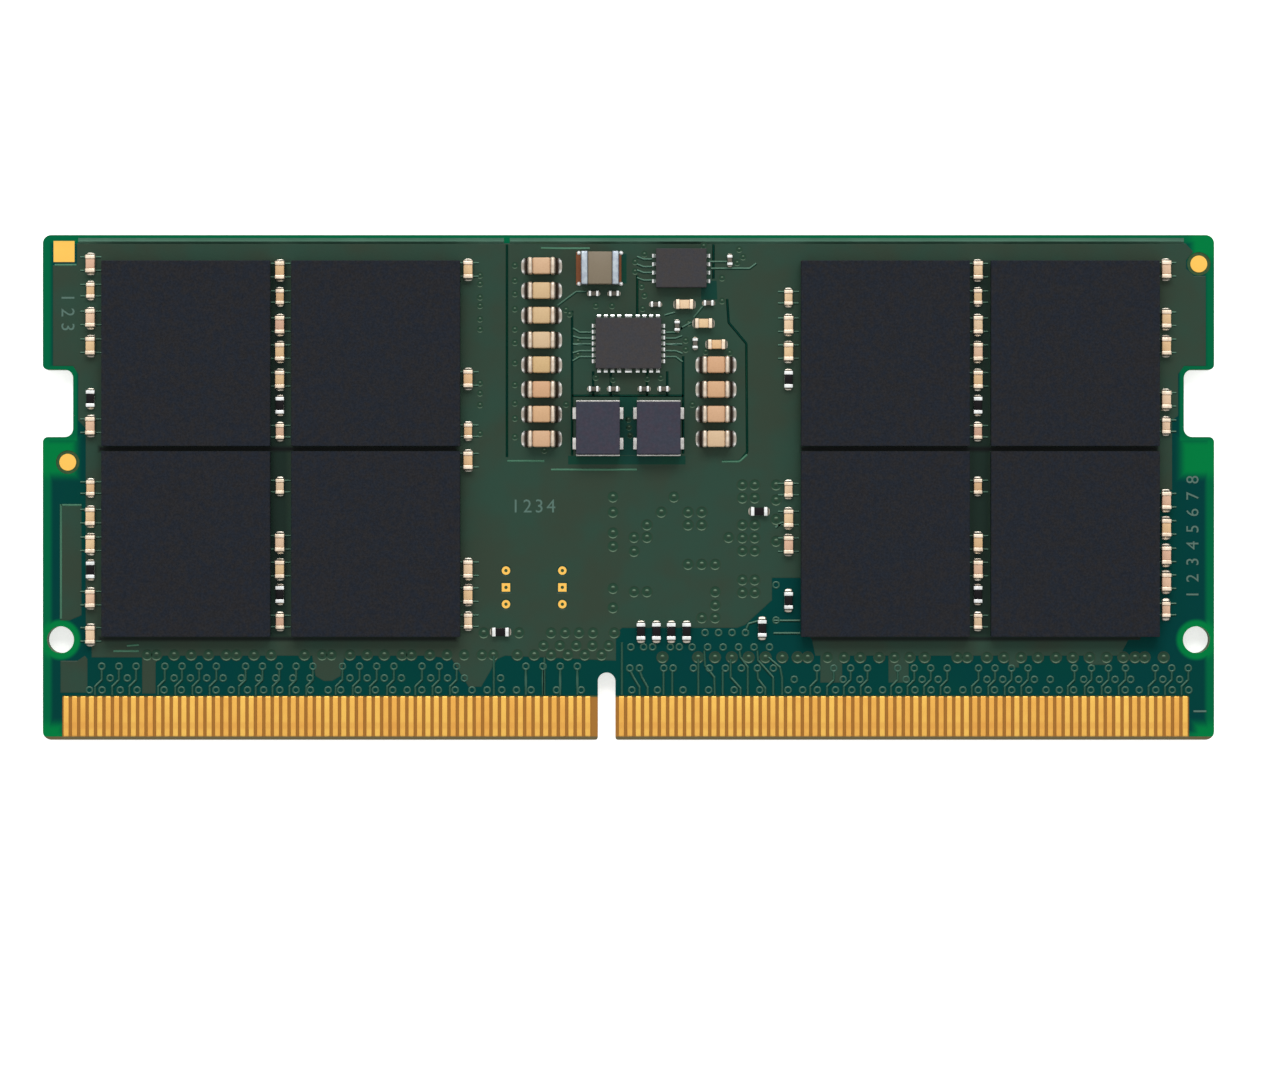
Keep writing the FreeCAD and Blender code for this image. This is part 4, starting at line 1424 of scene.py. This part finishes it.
VIA_COLUMNS = (
    (-8.82, (12.6, 12.1, 11.3, 10.8, 10.0, 9.4, 6.2, 5.6, 4.9, 3.2)),
    (-6.75, (13.2, 12.3, 11.5, 10.6, 9.4, 8.6, 7.4, 6.1, 5.0, 4.1, 3.0)),
    (-0.92, (-0.57, -1.47, -2.7, -3.5, -6.0, -7.15)),
    (0.33, (-2.97, -3.8, -6.2)), (1.1, (-2.23, -2.97, -6.2)), (1.95, (-1.47,)),
    (2.7, (-0.57,)), (3.54, (-1.47, -2.23, -4.57)), (4.35, (-1.47, -2.23, -4.57)),
    (5.15, (-4.57, -6.2, -7.0, -7.75)), (4.36, (-7.75,)), (5.95, (-2.97,)),
    (6.77, (0.15, -0.63, -2.23, -3.0, -3.77, -5.5, -6.25)),
    (7.5, (0.15, -0.63, -2.23, -3.0, -3.77, -5.5, -6.25)),
    (8.77, (0.15, -0.75, -1.9, -3.2)),
)
SMALL_HOLES = ((0.95, 13.86), (0.39, 13.41), (0.39, 12.84), (0.78, 11.93), (0.95, 11.4),
               (0.84, 10.62), (6.58, 14.14), (6.81, 13.69), (6.46, 13.35), (5.56, 12.44),
               (5.56, 11.08), (-1.94, 10.79), (-0.98, 10.79), (-3.71, 10.56), (-3.5, 10.3),
               (-3.71, 4.93), (-1.94, 6.53), (-0.92, 6.41), (1.12, 6.47), (1.92, 6.53),
               (0.0, 4.03), (0.04, 3.57), (0.1, 3.1), (3.4, 8.74), (3.4, 8.2), (3.57, 9.77),
               (3.8, 4.93), (4.59, 8.07), (6.01, 8.0), (-3.0, 8.7), (-3.0, 7.9), (-5.0, 2.2),
               (4.47, 14.35))
hole_points = []
dimple_points = [(x, y) for x, heights in VIA_COLUMNS for y in heights]
for y, runs in VIA_ROWS:
    for first, count, pitch in runs:
        run = [(first + i * pitch, y) for i in range(count)]
        on_copper = y in (-9.95, -10.1, -9.4) or (y == -8.64 and first < 0)
        (dimple_points if on_copper else hole_points).extend(run)
print("rings", len(hole_points), "dimples", len(dimple_points) + len(SMALL_HOLES))

# %% [markdown]
# Under the lacquer, beside the copper area, a plated hole is a small ring. A torus has a hidden
# lower half, so the ring is a low hump turned round an axis, and it is stamped at every hole.

# %% Rings of the plated holes
TOP_OF_COPPER = MASK_TOP + PLATE - 0.006 * MM
RING = [(0.235, 0.0), (0.21, 0.022), (0.18, 0.03), (0.15, 0.022), (0.125, 0.0)]
ring_profile = [(r * MM, h * MM) for r, h in RING]
ring = template("ring_template", ring_mesh("ring_template", ring_profile))
hole_places = [((x * MM, y * MM, TOP_OF_COPPER), 0.0, (1.0, 1.0, 1.0), tones.random())
               for x, y in hole_points]
keep(stamp("hole_rings", hole_places, ring, finishes["track"], smooth=True), "green_mask")
print("ring faces", len(ring.data.polygons))

# %% [markdown]
# In the copper area the hole is a dimple. Its mesh is a nearly flat disc of rings, and each
# ring says how deep it lies and how much it leans, for the finish to turn into light and shade.
# The holes of the power section are smaller.

# %% Dimples
POWER_SECTION_FOOT = 1.3
SMALL = 0.6


def dimple_mesh(name, count=12):
    """A flat disc that carries the light and shade of a dimple in two attributes."""
    rings = ((0.37, 0.0, 0.0), (0.31, 0.7, -1.0), (0.25, 1.0, -0.3), (0.19, 1.0, 0.0),
             (0.13, 0.6, 1.0), (0.07, 0.4, 0.7), (0.005, 0.3, 0.2))
    profile = [(r * MM, 0.004 * MM if r < 0.36 else 0.0) for r, deep, peak in rings]
    mesh = ring_mesh(name, profile, count)
    slopes = [peak * math.sin(2 * math.pi * i / count)
              for i in range(count) for r, deep, peak in rings]
    depths = [deep for i in range(count) for r, deep, peak in rings]
    mesh.attributes.new("lean", "FLOAT", "POINT").data.foreach_set("value", slopes)
    mesh.attributes.new("deep", "FLOAT", "POINT").data.foreach_set("value", depths)
    return mesh


dimple = template("dimple_template", dimple_mesh("dimple_template"))
dimple_places = [((x * MM, y * MM, MASK_TOP + PLATE), 0.0, (1.0, 1.0, 1.0), 0.5)
                 for x, y in dimple_points if y < POWER_SECTION_FOOT]
dimple_places += [((x * MM, y * MM, MASK_TOP + PLATE), 0.0, (SMALL, SMALL, 1.0), 0.5)
                  for x, y in dimple_points + list(SMALL_HOLES)
                  if y > POWER_SECTION_FOOT]
keep(stamp("hole_dimples", dimple_places, dimple, finishes["dimple"], smooth=True), "green_mask")
print("dimples", len(dimple_places))

# %% [markdown]
# Tracks run from the holes to the contacts. Most drop straight, step aside by one contact with
# a jog of 45 degrees, and drop again. They could be drawn as stripes in the finish, but a track
# is a hump that catches the light, so each is a ribbon. Those near the key slot, and those of
# the power section, are given point by point.

# %% Tracks to the contacts
CONTACT_TOP_Y = -12.33
TRACK_MIDDLE = MASK_TOP + 0.014 * MM
TRACK_HEIGHT = 0.034 * MM


def dropped(x, y, aside):
    """A track from a hole down to the contact that stands a step aside."""
    return [(x, y - 0.2), (x, -11.45), (x + aside, -11.45 - abs(aside)),
            (x + aside, CONTACT_TOP_Y)]


tracks = []
for y, runs in VIA_ROWS:
    if y in (-10.64, -10.75):
        for first, count, pitch in runs:
            if not -0.1 < first < 10.5:
                aside = -0.4 if abs(first) > 10.0 else 0.0
                tracks += [dropped(first + i * pitch, y, aside) for i in range(count)]
for x, top in ((-8.0, -10.0), (-5.0, -10.1), (-0.39, -9.2), (2.08, -10.9), (2.6, -10.9),
               (4.15, -10.2), (5.6, -10.9)):
    tracks.append([(x, top), (x, CONTACT_TOP_Y)])
tracks += [
    [(0.1, -10.9), (0.3, -11.3), (0.66, -11.9), (0.66, CONTACT_TOP_Y)],
    [(0.66, -10.9), (0.8, -11.3), (1.14, -11.9), (1.14, CONTACT_TOP_Y)],
    [(4.5, -9.7), (4.55, -10.6), (5.1, -11.3), (5.13, CONTACT_TOP_Y)],
    [(6.07, -10.2), (6.07, -11.3), (6.66, -11.95), (6.66, CONTACT_TOP_Y)],
    [(6.6, -9.7), (6.65, -10.1), (7.09, -10.7), (7.09, CONTACT_TOP_Y)],
    [(7.66, -10.9), (7.7, -11.4), (8.13, -11.95), (8.13, CONTACT_TOP_Y)],
    [(7.66, -9.7), (7.7, -10.3), (8.6, -11.3), (8.6, CONTACT_TOP_Y)],
    [(8.3, -10.1), (9.0, -10.7), (9.13, -11.3), (9.13, CONTACT_TOP_Y)],
    [(8.62, -7.92), (10.2, -7.92)], [(8.62, -8.67), (10.2, -8.67)],
    [(7.7, -7.95), (7.15, -8.1), (6.95, -8.55)],
    [(8.75, -2.4), (9.1, -2.1), (9.4, -2.1)],
    [(-4.2, 10.8), (-3.99, 10.96), (-3.1, 11.62), (-2.5, 11.62)], [(2.15, 10.22), (2.77, 10.4)],
    [(4.8, 13.4), (5.9, 13.4)], [(4.9, 13.0), (7.2, 13.0), (7.6, 13.3)],
    [(3.9, 10.1), (4.55, 10.9)], [(3.1, 9.45), (3.75, 9.8)],
]
WHISKERS_LEFT = (9.2, 8.85, 8.5, 8.1, 7.75)
for i, y in enumerate(WHISKERS_LEFT):
    tracks.append([(-2.2, y), (-2.9, y), (-3.3, y + 0.12 * (2 - i))])
    tracks.append([(2.2, y), (2.8, y), (3.2, y + 0.15 * (2 - i))])
for y in (13.55, 13.1, 12.75, 12.3):
    tracks.append([(1.4, y), (0.9, y), (0.5, y + 0.15)])
track_mesh = ribbons("tracks", tracks, TRACK_MIDDLE, 0.14 * MM, TRACK_HEIGHT,
                     finishes["track"], 0.1 * MM)
keep(track_mesh, "green_mask")
print("tracks", len(tracks))

# %% [markdown]
# The capacitors beside the packages have a short stub of track on either side of each end,
# reaching to a plated hole under the package. They could be listed like the tracks, but the
# ends' own boxes say where they are, so they are laid out from those.

# %% Stubs at the capacitor ends
STUB_REACH = 0.62
INNER_SIDE = 9.2
stubs = []
for end in solids_of("capacitor_ends") + solids_of("small_capacitor_ends"):
    x, y = end.centre.x / MM, end.centre.y / MM
    if abs(x) > INNER_SIDE and end.size.x > end.size.y:
        stubs.append([(x - STUB_REACH, y), (x + STUB_REACH, y)])
stub_mesh = ribbons("end_stubs", stubs, TRACK_MIDDLE, 0.12 * MM, TRACK_HEIGHT,
                    finishes["track"], 0.05 * MM)
keep(stub_mesh, "green_mask")
print("stubs", len(stubs))

# %% [markdown]
# Boards carry plain counting numbers in the copper, such as the order of the layers, read from
# the side. Each stroke could be drawn as a ribbon, but the font that comes with Blender does
# it, made into a mesh so that the export keeps it.

# %% Counting marks
def number_mesh(text, x, y, height, turn, gap=1.0):
    """Digits of this height in millimetres, centred on a place and turned."""
    curve = bpy.data.curves.new("number", "FONT")
    curve.body = text
    curve.space_character = gap
    curve.align_x = "CENTER"
    curve.align_y = "CENTER"
    curve.resolution_u = 3
    curve.extrude = 0.004
    made = bpy.data.objects.new("number", curve)
    bpy.context.scene.collection.objects.link(made)
    bpy.context.view_layer.update()
    mesh = bpy.data.meshes.new_from_object(made.evaluated_get(
        bpy.context.evaluated_depsgraph_get()))
    bpy.data.objects.remove(made)
    move = Matrix.Translation((x * MM, y * MM, MASK_TOP + PLATE + 0.002 * MM))
    mesh.transform(move @ Matrix.Rotation(turn, 4, "Z") @ Matrix.Scale(height * 1.4 * MM, 4))
    return mesh


NUMBERS = (("1 2 3 4 5 6 7 8", 33.55, -2.95, 0.75, math.pi / 2, 1.15),
           ("1", 34.0, -13.3, 0.8, math.pi / 2, 1.0),
           ("1 2 3", -33.35, 10.4, 0.8, -math.pi / 2, 1.0),
           ("1 2 3 4", -5.65, -1.15, 0.8, 0.0, 0.85))
numbers = [link("number", number_mesh(*entry), finishes["digit"]) for entry in NUMBERS]
keep(joined("counting_marks", numbers), "green_mask")
print("counting marks", len(NUMBERS))

# %% [markdown]
# A contact is a strip of copper plated with nickel and hard gold. Its top is a little crowned,
# its far end is rounded, and its edges look darker, since they lean away. A bevelled block has
# no crown, so the strip is drawn from a cross-section. It carries its own attribute called
# across, 0 along the middle and 1 at the edges, for the finish to use.

# %% The shape of a contact
def contact_mesh(name, width, length, height):
    profile = [(-1.0, 0.0), (-0.96, 0.7), (-0.8, 0.93), (-0.4, 1.0), (0.4, 1.0), (0.8, 0.93),
               (0.96, 0.7), (1.0, 0.0)]
    ends = [(-0.5, 0.0, 0.72), (-0.494, 0.7, 0.9), (-0.47, 1.0, 1.0), (0.47, 1.0, 1.0),
            (0.494, 0.7, 0.9), (0.5, 0.0, 0.72)]
    corners = []
    across = []
    for along, rise, narrow in ends:
        for side, top in profile:
            corners.append((side * narrow * width / 2, along * length, top * rise * height))
            across.append(abs(side))
    count = len(profile)
    faces = []
    for i in range(len(ends) - 1):
        for j in range(count - 1):
            first = i * count + j
            faces.append((first, first + 1, first + count + 1, first + count))
    mesh = bpy.data.meshes.new(name)
    mesh.from_pydata(corners, [], faces)
    if height < 0:
        mesh.flip_normals()
    mesh.attributes.new("across", "FLOAT", "POINT").data.foreach_set("value", across)
    return mesh

# %% [markdown]
# One strip is stamped at each contact of the front, and the same strip turned downwards at each
# contact of the back. Turning is done in the mesh, because a negative scale would turn its
# faces inside out.

# %% Contacts
front = solids_of("contacts_front")
back = solids_of("contacts_back")
size = front[0].size
strip = template("contact_template", contact_mesh("contact_template", size.x, size.y, size.z))
front_places = [place_at(solid, 0.0) for solid in front]
keep(stamp("contact_strips_front", front_places, strip, finishes["gold"], smooth=True),
     "gold_plating", "contacts_front")
under = template("contact_template_back",
                 contact_mesh("contact_template_back", size.x, size.y, -size.z))
back_places = [((s.centre.x, s.centre.y, s.high.z), 0.0, (1.0, 1.0, 1.0), tones.random())
               for s in back]
keep(stamp("contact_strips_back", back_places, under, finishes["gold"], smooth=True),
     "gold_plating", "contacts_back")
print("contacts", len(front), len(back))

# %% [markdown]
# The floor is pale and plain and only catches the shadow. A far wider one with a curved back
# would suit low views, but from above a flat sheet is the same. It glows a little, as paper lit
# from behind, so that it comes out white.

# %% Floor
FLOOR_REACH = 0.6
FLOOR_DROP = -0.02 * MM


def make_floor():
    mesh = bpy.data.meshes.new("floor")
    corners = [(i * FLOOR_REACH, j * FLOOR_REACH, FLOOR_DROP)
               for i, j in ((-1, -1), (1, -1), (1, 1), (-1, 1))]
    mesh.from_pydata(corners, [], [(0, 1, 2, 3)])
    floor = link("floor", mesh)
    finish = Finish("pale_floor", Roughness=0.9, Specular_IOR_Level=0.0, Emission_Strength=0.6,
                    Emission_Color=(1.0, 1.0, 1.0, 1.0))
    cloud = finish.place.noise(0.2)
    finish.put("Base Color", cloud.between(seen(252, 252, 252), seen(255, 255, 255)))
    mesh.materials.append(finish.material)


make_floor()
print("floor", 2 * FLOOR_REACH, "m wide")

# %% [markdown]
# One wide lamp stands beyond the far edge of the module, as in the photograph, and the sky
# fills the rest. A picture of a studio could light it too, but this one needs no file. What the
# metals mirror is made apart from what lights them: bright overhead and dark near the horizon,
# so that slopes look darker than flats.

# %% Light
SKY = 0.66
ZENITH = 1.15
HORIZON = 0.12
LAMP_AT = (0.0, 0.45, 0.5)
LAMP_POWER = 2.4


def make_light():
    world = bpy.data.worlds.new("studio")
    bpy.context.scene.world = world
    world.use_nodes = True
    tree = world.node_tree
    back = tree.nodes["Background"]
    back.inputs["Color"].default_value = (1.0, 1.0, 1.0, 1.0)
    view = Wire(tree, tree.nodes.new("ShaderNodeTexCoord").outputs["Generated"])
    rays = Wire(tree, tree.nodes.new("ShaderNodeLightPath").outputs["Is Glossy Ray"])
    height = view.parts()[2]
    mirrored = HORIZON + (ZENITH - HORIZON) * height.step(0.35, 0.85)
    strength = SKY + rays * (mirrored - SKY)
    tree.links.new(strength.socket, back.inputs["Strength"])
    lamp = bpy.data.lights.new("window", "AREA")
    lamp.shape = "RECTANGLE"
    lamp.size = 0.5
    lamp.size_y = 0.25
    lamp.energy = LAMP_POWER
    holder = bpy.data.objects.new("window", lamp)
    holder.location = LAMP_AT
    aim = -Vector(LAMP_AT)
    holder.rotation_euler = aim.to_track_quat("-Z", "Y").to_euler()
    bpy.context.scene.collection.objects.link(holder)


make_light()
print("lamp", round(Vector(LAMP_AT).length, 2), "m away")

# %% [markdown]
# The photograph looks straight down with a long lens. A flat view without perspective would
# come close, but the walls of the packages would never show. So the camera has a long lens, and
# its height follows from the width that it should see.

# %% Camera
LENS = 150.0
SENSOR = 36.0
VIEW_WIDTH = 74.99 * MM
CAMERA_X = 0.15 * MM
CAMERA_Y = -3.48 * MM


def make_camera():
    camera = bpy.data.cameras.new("camera")
    camera.lens = LENS
    camera.sensor_width = SENSOR
    camera.clip_start = 0.01
    holder = bpy.data.objects.new("camera", camera)
    distance = VIEW_WIDTH * LENS / SENSOR
    holder.location = (CAMERA_X, CAMERA_Y, MASK_TOP + distance)
    bpy.context.scene.collection.objects.link(holder)
    bpy.context.scene.camera = holder


make_camera()
bpy.context.scene.view_settings.view_transform = "Standard"
print("camera height", round(VIEW_WIDTH * LENS / SENSOR / MM), "mm")

# %% [markdown]
